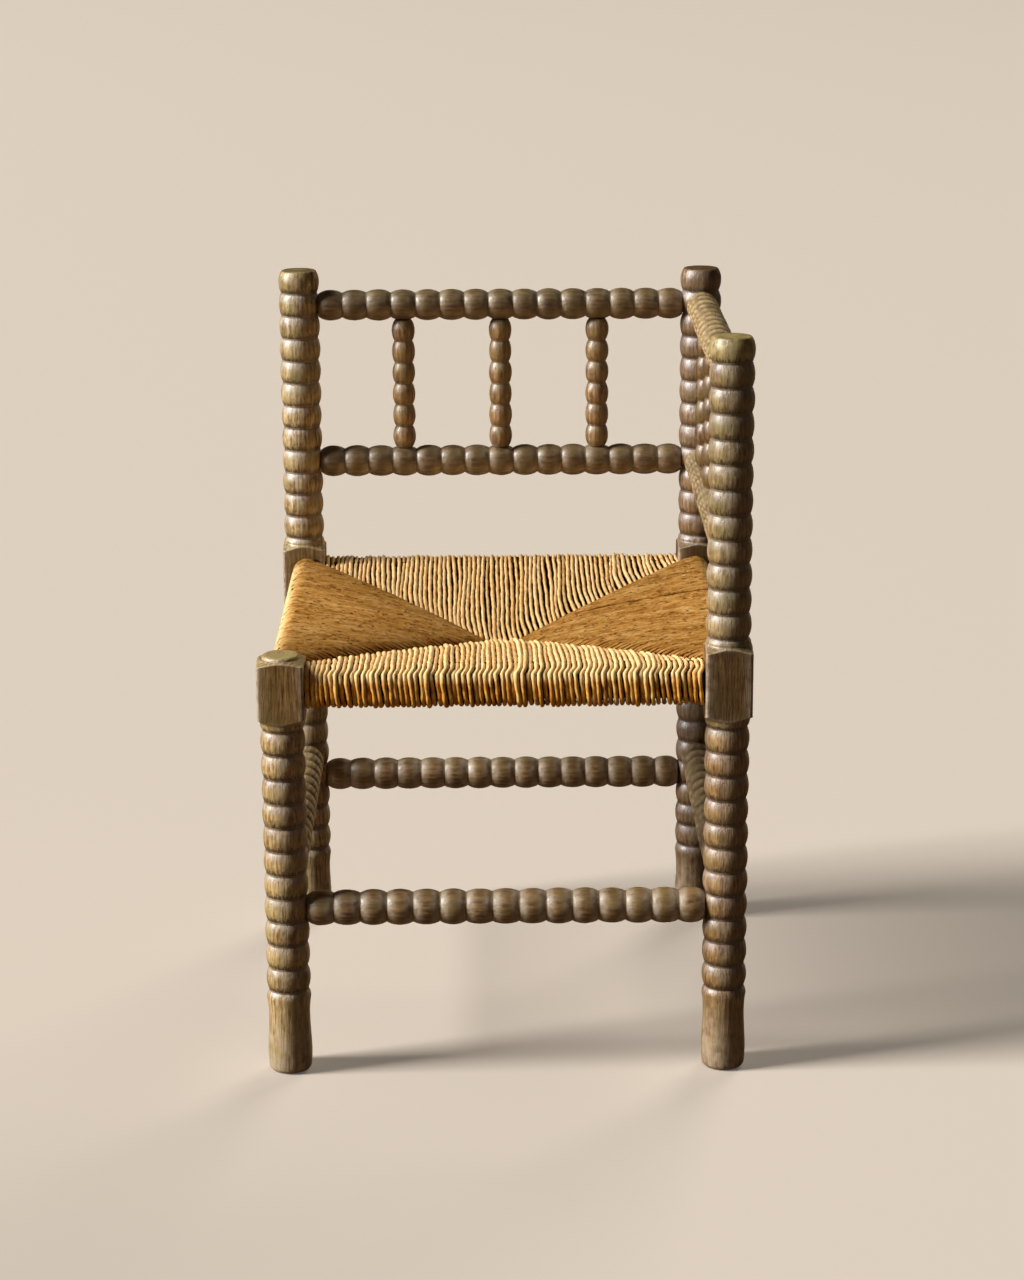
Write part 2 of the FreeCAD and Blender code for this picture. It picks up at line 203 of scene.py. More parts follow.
# Unevenness of the cords: lengths and sizes of waves, and ranges to draw from
PHASES = (0, 6.3)
DRIFT_LENGTHS = (0.055, 0.034, 0.021)
DRIFT_TURNS = (12, 45)
DRIFT_SHARE = 0.022
WANDER_SHARES = (1.0, 0.47, 0.23)
SIDE_WANDER = (0.05, 0.00024)
RISE_WANDER = (0.04, 0.00010)
LONG_LUMPS = (0.030, 0.035)
SHORT_LUMPS = (0.012, 0.025)
HELD_SHARE = 0.06
KINK_RANGE = (0.8, 1.2)
EVEN_RANGE = (-1.2, 1.0)
TWIST_LENGTH = (0.030, 0.045)
LOBE_SHARE = 0.07
FIBRE_STRETCH = 60
FIBRE_PLACE = (0, 90)

# Stuffing: a wad behind each rail and a pad over it
WAD_POINTS = 14
WAD_RINGS = 50
WAD_REACH = 0.97
WAD_ROUGH = 0.0006
WAD_START = 0.0005
WAD_STOP = 0.0010
PAD_ARC = 9
PAD_FLAT = 5
PAD_RINGS = 60
PAD_GAP = 0.0004
PAD_ROUND = 0.0080
PAD_ROUGH = 0.0004

# Stage and lights; angles in degrees, leftward from the front and upward
SEAT = Vector((0, 0, 0.4))
PALE = (0.70, 0.62, 0.53, 1.0)
FLOOR_SEEN = (0.57, 0.505, 0.432)
FLOOR_GIVES = (0.12, 0.075, 0.042)
FLOOR_REACH = 25.0
FLOOR_GLOW = 0.12
SURROUND_GIVES = 0.042
SURROUND_SEEN = 1.05
KEY_ANGLES = (80, 28)
KEY_COLOUR = (1.0, 0.97, 0.94)
WINDOW_REACH = 150.0
WINDOW_WIDTH = 40.0
WINDOW_HEIGHT = 106.0
WINDOW_POWER = 460000.0
REAR_ANGLES = (206, 18)
REAR_COLOUR = (1.0, 0.96, 0.90)
REAR_ENERGY = 2.1
REAR_SOFTNESS = 30
REAR_REACH = 3.0


def bezier(poles, steps):
    """Points of a Bezier curve, without its first one."""
    t = np.linspace(0, 1, steps + 1)[1:, None]
    order = len(poles) - 1
    weights = [math.comb(order, k) * t**k * (1 - t) ** (order - k) for k in range(order + 1)]
    terms = [weight * np.array(pole) for weight, pole in zip(weights, poles)]
    return np.sum(terms, axis=0)


def add_object(name, data):
    made = bpy.data.objects.new(name, data)
    bpy.context.scene.collection.objects.link(made)
    return made


def circle(count):
    """Even angles all round."""
    return np.linspace(0, 2 * math.pi, count, endpoint=False)


class Tubes:
    """Gathers closed tubes, each a stack of rings, into one mesh with attributes and a flat map."""

    def __init__(self, row_count):
        self.row_count = row_count
        self.next_row = 0
        self.point_count = 0
        self.points = []
        self.quads = []
        self.triangles = []
        self.quad_map = []
        self.triangle_map = []
        self.values = {}

    def add(self, rings, values, bands=1):
        """Adds one tube; rings is stations x sides x 3, and values has one item per point."""
        stations, sides, _ = rings.shape
        first = self.point_count
        caps = [rings[0].mean(axis=0), rings[-1].mean(axis=0)]
        self.points += [rings.reshape(-1, 3), np.array(caps)]
        for name, value in values.items():
            flat = value.reshape(stations * sides, -1)
            ends = [value[k].reshape(sides, -1).mean(axis=0) for k in (0, -1)]
            self.values.setdefault(name, []).append(np.vstack([flat, ends]))
        index = first + np.arange(stations * sides).reshape(stations, sides)
        after = np.roll(index, -1, axis=1)
        corners = [index[:-1], after[:-1], after[1:], index[1:]]
        self.quads.append(np.stack(corners, axis=-1).reshape(-1, 4))
        low = np.full(sides, first + stations * sides)
        self.triangles.append(np.stack([after[0], index[0], low], axis=-1))
        self.triangles.append(np.stack([index[-1], after[-1], low + 1], axis=-1))
        self.point_count += stations * sides + 2
        self.unroll(rings, bands)

    def unroll(self, rings, bands):
        """Lays the tube flat in its rows of the map: along u by length, around v."""
        sides = rings.shape[1]
        middle = rings.mean(axis=1)
        reach = [np.linalg.norm(rings[k] - middle[k], axis=1).mean() for k in (0, -1)]
        steps = np.linalg.norm(np.diff(rings, axis=0), axis=2).mean(axis=1)
        along = np.concatenate([[reach[0]], reach[0] + np.cumsum(steps)])
        along = np.concatenate([[0.0], along, [along[-1] + reach[1]]]) / (along[-1] + reach[1])
        around = np.arange(sides + 1) / sides
        band = np.minimum((along[:-1] * bands).astype(int), bands - 1)
        start = (along[:-1] * bands - band) * MAP_LENGTH + MAP_START
        stop = (along[1:] * bands - band) * MAP_LENGTH + MAP_START
        row = self.next_row + band

        def corner(u, v):
            u, v = np.broadcast_arrays(u, v)
            height = (row[:, None] + MAP_BASE + MAP_HEIGHT * v) / self.row_count
            return np.stack([u, height], axis=-1)

        low, high = around[None, :-1], around[None, 1:]
        first, last = start[:, None], stop[:, None]
        places = [(first, low), (first, high), (last, high), (last, low)]
        faces = np.stack([corner(u, v) for u, v in places], axis=2)
        self.quad_map.append(faces[1:-1].reshape(-1, 2))
        for cap, rim, outer in ((0, [2, 3], [0, 1]), (-1, [0, 1], [2, 3])):
            tip = faces[cap][:, outer].mean(axis=1, keepdims=True)
            fan = np.concatenate([faces[cap][:, rim], tip], axis=1)
            self.triangle_map.append(fan.reshape(-1, 2))
        self.next_row += bands

    def piece(self, name, material, matrix=None):
        """The finished object, smooth shaded, with its attributes and its map."""
        mesh = bpy.data.meshes.new(name)
        faces = [*np.concatenate(self.quads).tolist(), *np.concatenate(self.triangles).tolist()]
        mesh.from_pydata(np.concatenate(self.points), [], faces, shade_flat=False)
        for key, parts in self.values.items():
            data = np.concatenate(parts).astype(np.float32)
            kind, field = ("FLOAT", "value") if data.shape[1] == 1 else ("FLOAT_VECTOR", "vector")
            mesh.attributes.new(key, kind, "POINT").data.foreach_set(field, data.ravel())
        flat = mesh.uv_layers.new(name="OFBake")
        places = np.concatenate([*self.quad_map, *self.triangle_map]).astype(np.float32)
        flat.uv.foreach_set("vector", places.ravel())
        mesh.materials.append(material)
        made = add_object(name, mesh)
        if matrix is not None:
            made.matrix_world = matrix
        return made


def settle(piece, slot, *nodes):
    """Fastens a piece to the chair, in the place of the CAD nodes that it stands for."""
    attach(piece, ROOT)
    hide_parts(*nodes)


class Shader:
    """Builds one procedural material, node by node."""

    def __init__(self, name):
        self.material = bpy.data.materials.new(name)
        self.material.use_nodes = True
        self.tree = self.material.node_tree
        self.surface = self.tree.nodes["Principled BSDF"]
        self.colour = None

    def put(self, socket, value):
        if isinstance(value, bpy.types.NodeSocket):
            self.tree.links.new(value, socket)
        else:
            socket.default_value = value

    def node(self, kind, inputs, **settings):
        made = self.tree.nodes.new(kind)
        for key, value in settings.items():
            setattr(made, key, value)
        for key, value in inputs.items():
            self.put(made.inputs[key], value)
        return made

    def stretch(self, vector, scale):
        made = self.node("ShaderNodeVectorMath", {0: vector, 1: scale}, operation="MULTIPLY")
        return made.outputs[0]

    def own_space(self, place=(0, 0, 0), scale=(1, 1, 1)):
        """The piece's own coordinates, in metres, moved and then stretched."""
        source = self.node("ShaderNodeTexCoord", {}).outputs["Object"]
        moved = self.node("ShaderNodeVectorMath", {0: source, 1: place}, operation="ADD")
        return self.stretch(moved.outputs[0], scale)

    def part(self, vector, axis):
        return self.node("ShaderNodeSeparateXYZ", {"Vector": vector}).outputs[axis]

    def attribute(self, name, output="Fac"):
        return self.node("ShaderNodeAttribute", {}, attribute_name=name).outputs[output]

    def noise(self, vector, scale, detail=2.0, roughness=0.5):
        inputs = {"Vector": vector, "Scale": scale, "Detail": detail, "Roughness": roughness}
        return self.node("ShaderNodeTexNoise", inputs).outputs["Fac"]

    def math(self, operation, a, b, c=0.0):
        return self.node("ShaderNodeMath", {0: a, 1: b, 2: c}, operation=operation).outputs[0]

    def spread(self, value, low, high, to_low=0.0, to_high=1.0):
        """Stretches low..high to to_low..to_high, and stops at both ends."""
        inputs = {"Value": value, "From Min": low, "From Max": high}
        inputs.update({"To Min": to_low, "To Max": to_high})
        return self.node("ShaderNodeMapRange", inputs).outputs["Result"]

    def ramp(self, factor, stops):
        stops = list(stops)
        made = self.node("ShaderNodeValToRGB", {"Fac": factor})
        elements = made.color_ramp.elements
        while len(elements) < len(stops):
            elements.new(0.5)
        for element, (position, colour) in zip(elements, stops):
            element.position = position
            element.color = (*colour, 1.0)
        return made.outputs["Color"]

    def mix(self, factor, a, b, blend="MIX"):
        made = self.node("ShaderNodeMix", {}, data_type="RGBA", blend_type=blend)
        for index, value in ((0, factor), (6, a), (7, b)):
            is_colour = isinstance(value, tuple)
            self.put(made.inputs[index], (*value, 1.0) if is_colour else value)
        return made.outputs[2]

    def paint(self, share, colour, blend="MIX"):
        """Lays a colour over what is there, as far as share says."""
        self.colour = self.mix(share, self.colour, colour, blend)

    def tint(self, share, colour):
        """Multiplies what is there by a colour, as far as share says."""
        self.paint(share, self.mix(1.0, self.colour, colour, "MULTIPLY"))

    def bump(self, height, distance, strength):
        inputs = {"Height": height, "Distance": distance, "Strength": strength}
        made = self.node("ShaderNodeBump", inputs)
        self.put(self.surface.inputs["Normal"], made.outputs["Normal"])

    def gloss(self, level, coat=(0.0, 0.03)):
        """Strength of the reflection, and weight and roughness of a coat of wax over it."""
        values = {"Specular IOR Level": level, "Coat Weight": coat[0], "Coat Roughness": coat[1]}
        for key, value in values.items():
            self.surface.inputs[key].default_value = value

    def finish(self, colour, roughness):
        self.put(self.surface.inputs["Base Color"], colour)
        self.put(self.surface.inputs["Roughness"], roughness)
        return self.material


@dataclass
class Wood:
    """Colours of one kind of wood, how marked, dusty, dirty and waxed it is, and a leg's tint. Its
    dust also stands for a painted sheen on upper faces, its grime for painted shade in grooves, and
    its rim wear for a painted highlight on bar shoulders.
    """

    deep: tuple
    middle: tuple
    pale: tuple
    olive: tuple
    figure: float
    fringe: float
    # Dust on upper faces with a painted sheen there: its weight and its colour
    sheen_and_dust: float
    sheen_and_dust_colour: tuple
    grime_and_shade_from: float
    roughness: tuple
    coat: tuple
    # Strength of the pale edges: wear on posts, wear and a painted highlight on bar shoulders
    rim: float = 1.0
    leg: tuple = WHITE

    def toned(self, level, warmth):
        """The four colours, lighter or darker by level and redder by warmth."""
        scale = (level * (1 + warmth), level, level * (1 - 2 * warmth))
        colours = (self.deep, self.middle, self.pale, self.olive)
        return [tuple(c * s for c, s in zip(colour, scale)) for colour in colours]


def wood_material(name, seed, wood, level=1.0, warmth=0.0, block=WHITE):
    """Waxed old wood: streaks, growth rings, dark fringes, dust with a painted sheen on upper faces,
    grime with painted shade in the grooves, and worn edges with a painted highlight on bar
    shoulders.
    """
    look = Shader(name)
    random = np.random.default_rng(seed)
    pith = tuple(random.uniform(*reach) for reach in PITH)
    *streaks, olive = wood.toned(level, warmth)
    solid = look.own_space(pith)
    ring_space = look.own_space(pith, (1, 1, 0.2))
    ring = look.node(
        "ShaderNodeTexWave",
        {"Vector": ring_space, "Scale": 60.0, "Distortion": 8.0, "Detail": 3.0},
        wave_type="RINGS",
        rings_direction="Z",
    ).outputs["Fac"]
    streak = look.noise(look.own_space(pith, (1, 1, 0.08)), 560.0, 5.0, 0.62)
    pore = look.noise(look.own_space(pith, (1, 1, 0.10)), 1100.0, 2.0, 0.5)
    blotch = look.noise(solid, 38.0, 3.0, 0.6)
    patch = look.noise(solid, 110.0, 3.0, 0.55)
    groove_share = look.attribute("groove_share")

    figure = look.math("MULTIPLY", streak, 0.76 - wood.figure)
    figure = look.math("MULTIPLY_ADD", ring, wood.figure, figure)
    figure = look.math("MULTIPLY_ADD", patch, 0.24, figure)
    figure = look.math("MULTIPLY_ADD", look.attribute("tone"), 0.035, figure)
    look.colour = look.ramp(figure, zip(WOOD_STOPS, streaks))
    look.paint(look.spread(blotch, 0.44, 0.64, 0.0, 0.70), olive)
    polish = look.spread(patch, 0.35, 0.62, 0.15, 0.80)
    polish = look.math("MULTIPLY", look.attribute("handled"), polish)
    look.paint(polish, POLISHED)
    height = look.part(look.own_space(), "Z")
    look.tint(look.spread(height, *LEG_FADE, 1.0, 0.0), wood.leg)
    look.tint(look.attribute("block"), block)
    pore_mask = look.spread(pore, 0.60, 0.70, 0.0, 0.6)
    look.paint(pore_mask, PORE)
    comb = look.math("MULTIPLY_ADD", look.attribute("under"), 0.42, streak)
    look.paint(look.spread(comb, 0.71, 0.82, 0.0, wood.fringe), FRINGE)
    # Dust and a painted sheen on the upper half of each post bead and on the top side of each bar
    sheen_and_dust = look.spread(look.attribute("upper"), 0.15, 0.75, 0.0, wood.sheen_and_dust)
    sheen_and_dust = look.math("MULTIPLY", sheen_and_dust, look.spread(patch, 0.35, 0.65, 0.3, 1.0))
    look.paint(sheen_and_dust, wood.sheen_and_dust_colour)
    # Pale wear on edges and feet, and a painted highlight on the shoulders of bars
    worn_and_highlit_mask = look.spread(patch, 0.35, 0.60, 0.35 * wood.rim, wood.rim)
    look.paint(look.math("MULTIPLY", look.attribute("wear_and_highlight"), worn_and_highlit_mask), WORN_AND_HIGHLIT)
    # Grime and painted shade deep in the grooves, patchy
    grime_and_shade = look.spread(groove_share, wood.grime_and_shade_from, 1.0, 0.0, 0.90)
    grime_and_shade = look.math("MULTIPLY", grime_and_shade, look.spread(blotch, 0.36, 0.60, 1.0, 0.55))
    look.paint(grime_and_shade, GROOVE_GRIME_AND_SHADE)

    rough = look.spread(patch, 0.30, 0.70, *wood.roughness)
    rough = look.math("ADD", rough, look.spread(groove_share, wood.grime_and_shade_from, 1.0, 0.0, 0.25))
    relief = look.math("MULTIPLY", streak, 1.6)
    relief = look.math("SUBTRACT", relief, look.math("MULTIPLY", pore_mask, 0.6))
    look.bump(look.math("MULTIPLY_ADD", patch, 0.9, relief), 0.0008, 0.60)
    look.gloss(0.70, wood.coat)
    return look.finish(look.colour, rough)


@dataclass
class Rush:
    """Colours of the rush's face and top, how flecked and patchy it is, how far round each cord the
    painted shade of its gaps reaches, and how dark it gets towards the middle of the seat.
    """

    face: tuple
    top: tuple
    dash: float
    patchy: float
    gap: tuple
    centre: float = 1.0

    def scaled(self, level):
        """Colours of the face and the top, lighter or darker by level."""
        kinds = (self.face, self.top)
        return [[tuple(c * level for c in colour) for colour in colours] for colours in kinds]


def rush_material(name, rush, level=1.0):
    """Old twisted rush: fibres along the cord, patches, dashes, scratches, a worn crest with a
    painted highlight, and painted shade on the flanks and in the gaps between cords.
    """
    look = Shader(name)
    lay = look.attribute("lay", "Vector")

    def along(stretch, scale, detail):
        return look.noise(look.stretch(lay, (1, stretch, 1)), scale, detail, 0.58)

    fibre = look.noise(look.attribute("fibre", "Vector"), 3.2, 4.0, 0.65)
    fleck = along(0.75, 185.0, 2.0)
    mottle = along(0.80, 150.0, 4.0)
    patch = along(0.90, 34.0, 3.0)
    scratch = along(0.30, 300.0, 2.0)
    crevice = look.attribute("crevice")

    figure = look.math("MULTIPLY", fibre, 0.44 - rush.patchy)
    tone = look.attribute("tone")
    figure = look.math("MULTIPLY_ADD", tone, 0.14 - 0.25 * rush.patchy, figure)
    figure = look.math("MULTIPLY_ADD", mottle, 0.42 + 0.25 * rush.patchy, figure)
    figure = look.math("MULTIPLY_ADD", patch, rush.patchy, figure)
    face, top = [look.ramp(figure, zip(RUSH_STOPS, colours)) for colours in rush.scaled(level)]
    look.colour = look.mix(look.attribute("bleach"), face, top)
    look.paint(look.spread(scratch, 0.66, 0.73, 0.0, 0.6 * rush.dash), SCRATCH)
    # Worn crest of each cord with a painted highlight, left out in the shade beside the blocks
    crest = look.spread(mottle, 0.36, 0.60, 0.45, 0.95)
    look.paint(look.math("MULTIPLY", look.attribute("crest"), crest), CREST_WEAR_AND_HIGHLIGHT)
    # Darker towards the mitre end of each cord, that is towards the middle of the seat
    darker_to_centre = look.spread(look.part(lay, "Y"), 0.0, CENTRE_DARKENING_RUN, rush.centre, 1.0)
    look.paint(1.0, darker_to_centre, "MULTIPLY")
    # Dark dashes, partly marks and partly painted shade of the gaps between cords
    dash = look.spread(fleck, 0.57, 0.66, 0.0, rush.dash)
    look.paint(dash, DASH_AND_GAP_SHADE)
    # Painted shade down the flanks and in the gaps between the cords
    first, last = rush.gap
    flank = look.spread(crevice, 0.5 * first, 0.9 * last, 0.0, 0.85)
    look.paint(flank, FLANK_SHADE)
    look.paint(look.spread(crevice, first, last, 0.0, 0.97), GAP_SHADE)

    rough = look.spread(fibre, 0.3, 0.7, 0.48, 0.66)
    look.bump(look.math("MULTIPLY_ADD", dash, -1.4, fibre), 0.0008, 0.6)
    look.gloss(0.0)
    return look.finish(look.colour, rough)


def hidden_material(name, dark, pale, stretch, scale, relief, gloss, roughness):
    """Plain stuff, painted dark to stand for the shade between the cords, where alone it shows."""
    look = Shader(name)
    streak = look.noise(look.own_space(scale=stretch), scale, 3.0, 0.6)
    look.bump(streak, *relief)
    look.gloss(gloss)
    return look.finish(look.ramp(streak, [(0.35, dark), (0.70, pale)]), roughness)


class Profile:
    """Outline of a turned piece: radius, height, share of the way into a groove, tone and underside
    at each station; the groove share drives grime and painted shade.
    """

    def __init__(self, radius, z, seed, shape=BEAD_SHAPE):
        self.stations = [(radius, z, 0.0, 0.0, 0.0)]
        self.swell_share, self.lead_share, self.crown_share = shape
        self.random = np.random.default_rng(seed)
        self.tone = 0.0

    def curve(self, steps, poles, groove_share=0.0, is_under=False):
        """A Bezier curve by poles of radius and height, along which the groove share changes evenly.
        """
        start = self.stations[-1]
        for number, (radius, z) in enumerate(bezier([start[:2], *poles], steps), start=1):
            level = start[2] + (groove_share - start[2]) * number / steps
            self.stations.append((radius, z, level, self.tone, level if is_under else 0.0))

    def swell(self, crown, z):
        """Half a bobbin, from the present groove to its crown."""
        groove, start = self.stations[-1][:2]
        reach = z - start
        lead = (groove + self.swell_share * (crown - groove), start + self.lead_share * reach)
        poles = [lead, (crown, z - self.crown_share * reach), (crown, z)]
        self.curve(BEAD_STEPS, poles, is_under=True)

    def fall(self, groove, z):
        """Half a bobbin, from the present crown to the groove after it."""
        crown, start = self.stations[-1][:2]
        reach = z - start
        lead = (groove + self.swell_share * (crown - groove), z - self.lead_share * reach)
        poles = [(crown, start + self.crown_share * reach), lead, (groove, z)]
        self.curve(BEAD_STEPS, poles, 1.0)

    def beads(self, count, pitch, crown, groove, last=None):
        """A run of bobbins, no two quite the same, that ends in a groove of radius last."""
        base = self.stations[-1][1]
        for number in range(1, count + 1):
            self.tone = self.random.uniform(-1, 1)
            middle, end = base + (number - 0.5) * pitch, base + number * pitch
            self.swell(crown + self.vary(CROWN_JITTER), middle + self.vary(PITCH_JITTER))
            if number == count:
                self.fall(groove if last is None else last, end)
            else:
                self.fall(groove + self.vary(GROOVE_JITTER), end + self.vary(PITCH_JITTER))

    def vary(self, size):
        return self.random.uniform(-size, size)


def leg_profile(block_half, block_bottom, block_top, seed):
    """Any leg, from the floor to the upper shoulder of its block."""
    profile = Profile(FOOT_RADIUS - FOOT_EDGE, 0.0, seed)
    profile.curve(EDGE_STEPS, [(FOOT_RADIUS, 0.0), (FOOT_RADIUS, FOOT_EDGE)])
    ankle = FOOT_HEIGHT - FOOT_SHOULDER
    third = (ankle - FOOT_EDGE) / 3
    flare = FOOT_RADIUS + 3 * FOOT_FLARE
    waist = FOOT_RADIUS - 4 * FOOT_WAIST
    poles = [(flare, FOOT_EDGE + third), (waist, ankle - third), (POST_CROWN, ankle)]
    profile.curve(SHOULDER_STEPS, poles)
    groove = POST_CROWN - POST_GROOVE
    profile.fall(groove, FOOT_HEIGHT)
    profile.beads(POST_BEADS, LEG_PITCH, POST_CROWN, groove)
    profile.tone = 0.0
    top = profile.stations[-1][1]
    profile.swell(POST_CROWN, top + LOWER_COLLAR * COLLAR_CROWN)
    corner = block_half * math.sqrt(2) + SHOULDER_RISE
    collar = (POST_CROWN, block_bottom - SHOULDER_RISE / 2)
    arch = (block_half + SHOULDER_RUN, block_bottom + SHOULDER_RISE / 2)
    profile.curve(SHOULDER_STEPS, [collar, arch, (corner, block_bottom + SHOULDER_RISE)])
    profile.curve(BLOCK_STEPS, [(corner, block_top - SHOULDER_RISE)])
    return profile


def tall_profile(block_half, block_bottom, post_top, seed, end_tone):
    """Leg, block, beaded upper post and its flat-topped last bead."""
    block_top = block_bottom + BLOCK_HEIGHT
    profile = leg_profile(block_half, block_bottom, block_top, seed)
    upper = block_top + UPPER_COLLAR
    arch = (block_half + SHOULDER_RUN, block_top - SHOULDER_RISE / 2)
    collar = (POST_CROWN, upper - UPPER_COLLAR * COLLAR_CROWN)
    profile.curve(SHOULDER_STEPS, [arch, (POST_CROWN, block_top + SHOULDER_RISE / 2), collar])
    groove = POST_CROWN - POST_GROOVE
    profile.fall(groove, upper)
    profile.beads(POST_BEADS, UPPER_PITCH, POST_CROWN, groove)
    crown_z = post_top - TOP_BEAD + TOP_BEAD * TOP_CROWN
    profile.swell(POST_CROWN, crown_z)
    rim = post_top - TOP_DOME
    poles = [(POST_CROWN, (crown_z + rim) / 2), (TOP_FACE + TOP_DOME, rim), (TOP_FACE, rim)]
    profile.curve(TOP_STEPS, poles)
    profile.tone = end_tone
    profile.curve(EDGE_STEPS, [(TOP_FACE / 2, post_top), (TOP_DOME, post_top)])
    return profile


def short_profile(block_half, block_bottom, seed):
    """Leg that ends in its block, with a turned button on top."""
    block_top = block_bottom + SHORT_BLOCK_HEIGHT
    profile = leg_profile(block_half, block_bottom, block_top, seed)
    rim = block_top + BUTTON_BEVEL / 2
    arch = (block_half + SHOULDER_RUN, block_top - SHOULDER_RISE / 2)
    edge = (BUTTON_RADIUS + BUTTON_RIM, rim)
    profile.curve(SHOULDER_STEPS, [arch, (block_half, block_top), edge])
    # The step under the button counts as nearly a groove: grime and painted shade
    profile.curve(RIM_STEPS, [(BUTTON_RADIUS, rim)], 0.9)
    top = rim + BUTTON_HEIGHT
    bevel = [(BUTTON_RADIUS, top - BUTTON_BEVEL / 2), (BUTTON_RADIUS - BUTTON_BEVEL, top)]
    profile.curve(EDGE_STEPS, bevel)
    profile.curve(EDGE_STEPS, [(TOP_DOME, top)])
    return profile


def bar_profile(length, count, crown, groove_depth, end, seed):
    """Beaded bar centred on its length, with a narrow end at both shoulders."""
    profile = Profile(end, -length / 2, seed, BAR_SHAPE)
    # The bar begins as a groove, dark with grime and painted shade where it meets the post
    profile.stations[0] = (end, -length / 2, 1.0, 0.0, 0.0)
    profile.beads(count, length / count, crown, crown - groove_depth, end)
    return profile


def square_radius(angles, half, edge):
    """Distance from the axis to the face of a square bar with rounded edges, at each angle."""
    turn = np.abs((angles + math.pi / 4) % (math.pi / 2) - math.pi / 4)
    flat = half / np.cos(turn)
    centre = half - edge
    inside = np.maximum(edge**2 - centre**2 * (np.cos(turn) - np.sin(turn)) ** 2, 0)
    rounded = centre * (np.cos(turn) + np.sin(turn)) + np.sqrt(inside)
    return np.where(half * np.tan(turn) > centre, rounded, flat)


def post_angles(per_quarter):
    """Angles round a post, closer together at the edges of its block."""
    share = np.linspace(-1, 1, per_quarter, endpoint=False)
    quarter = math.pi / 4 * np.sign(share) * np.abs(share) ** POST_GATHER
    return np.concatenate([quarter + math.pi / 4 + k * math.pi / 2 for k in range(4)])


def dent(radius, z, angles, random, count):
    """Presses shallow knocks into a turned surface."""
    for _ in range(count):
        size = random.uniform(*DENT_SIZE)
        depth = random.uniform(*DENT_DEPTH)
        offset = (angles - random.uniform(0, 2 * math.pi) + math.pi) % (2 * math.pi) - math.pi
        along = z[:, None] - random.uniform(z[0], z[-1])
        radius -= depth * np.exp(-((offset * radius) ** 2 + along**2) / size**2)
    return radius


def square_off(grid, z, angles, block_half):
    """Radii cut to a square bar with worn edges, the share of block in each point, and its wear."""
    square = square_radius(angles, block_half, BLOCK_EDGE)[None, :]
    cut = -ARRIS_WEAR * np.logaddexp(-grid / ARRIS_WEAR, -square / ARRIS_WEAR)
    on_block = 1 / (1 + np.exp(np.clip((square - grid) / ARRIS_WEAR, -60, 60)))
    near_edge = ((square - block_half) / (square.max() - block_half)) ** 3
    near_arch = np.exp(-np.abs(grid - square) / ARCH_WEAR)
    wear_and_highlight = np.clip(on_block * near_edge + near_arch, 0, 1)
    foot = np.clip(1 - z / FOOT_HEIGHT, 0, 1)[:, None]
    return cut, on_block, np.maximum(wear_and_highlight, FOOT_WEAR * foot)


def lathe(node, slot, profile, angles, material, place, dents, bands, block=None, lies=False, end=0):
    """A turned piece for a CAD node; block is half its square block, end its polished length."""
    radius, z, groove_share, tone, under = np.array(profile.stations).T

    def ringed(levels):
        return np.repeat(levels[:, None], len(angles), axis=1)

    random = profile.random
    grid = ringed(radius)
    grid *= 1 + OVAL_SHARE * np.cos(2 * angles + random.uniform(0, math.pi))
    if block is None:
        # Lying bars: pale shoulders near each groove, wear and a painted highlight
        low, high = RIM_WEAR_AND_HIGHLIGHT
        wear_and_highlight = ringed(np.clip((groove_share - low) / (high - low), 0, 1)) * lies
        on_block = np.zeros_like(grid)
    else:
        grid, on_block, wear_and_highlight = square_off(grid, z, angles, block)
    grid = dent(grid, z, angles, random, dents)
    upward = np.clip(np.cos(angles), 0, 1)[None, :] + np.zeros_like(grid)
    values = {
        # Attributes for the paint: the wear is real wear and, on bars, a painted highlight; the
        # upper share gives dust and a painted sheen; the groove share gives grime and painted shade
        "wear_and_highlight": wear_and_highlight,
        "block": on_block,
        "upper": upward if lies else ringed(groove_share - under),
        "groove_share": ringed(groove_share),
        "tone": ringed(tone),
        "under": ringed(under),
        "handled": ringed(np.clip((z - z[-1] + end) / HANDLED_FADE, 0, 1)),
    }
    tubes = Tubes(bands)
    rings = np.stack([grid * np.cos(angles), grid * np.sin(angles), ringed(z)], axis=-1)
    tubes.add(rings, values, bands)
    settle(tubes.piece(f"turned_{node}", material, place), slot, node)


def lying(axis, centre):
    """Place of a bar whose own X is up and whose own Z lies along axis."""
    z = Vector(axis)
    x = Vector((0, 0, 1))
    matrix = Matrix((x, z.cross(x), z)).transposed().to_4x4()
    matrix.translation = centre
    return matrix


def middle_of(node):
    low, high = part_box(node)
    return (low + high) / 2


def make_posts(woods):
    """The short leg and the three tall posts."""
    block_bottom = FOOT_HEIGHT + POST_BEADS * LEG_PITCH + LOWER_COLLAR
    angles = post_angles(POST_QUARTER)
    for seed, node in enumerate(woods, start=POST_SEED):
        low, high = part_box(node)
        half = (high.x - low.x) / 2
        axis = Matrix.Translation(((low.x + high.x) / 2, (low.y + high.y) / 2, 0))
        if node == "front_left_leg":
            profile = short_profile(half, block_bottom, seed)
            handled = BUTTON_HEIGHT
        else:
            is_arm_end = node == "front_right_post"
            end_tone = 0.0 if is_arm_end else END_GRAIN_TONE
            profile = tall_profile(half, block_bottom, high.z, seed, end_tone)
            handled = TOP_BEAD if is_arm_end else 0.0
        material = wood_material(f"post_wood_{seed}", seed, *woods[node])
        marks = {"dents": POST_DENTS, "bands": LONG_BANDS, "block": half, "end": handled}
        lathe(node, "post_wood", profile, angles, material, axis, **marks)


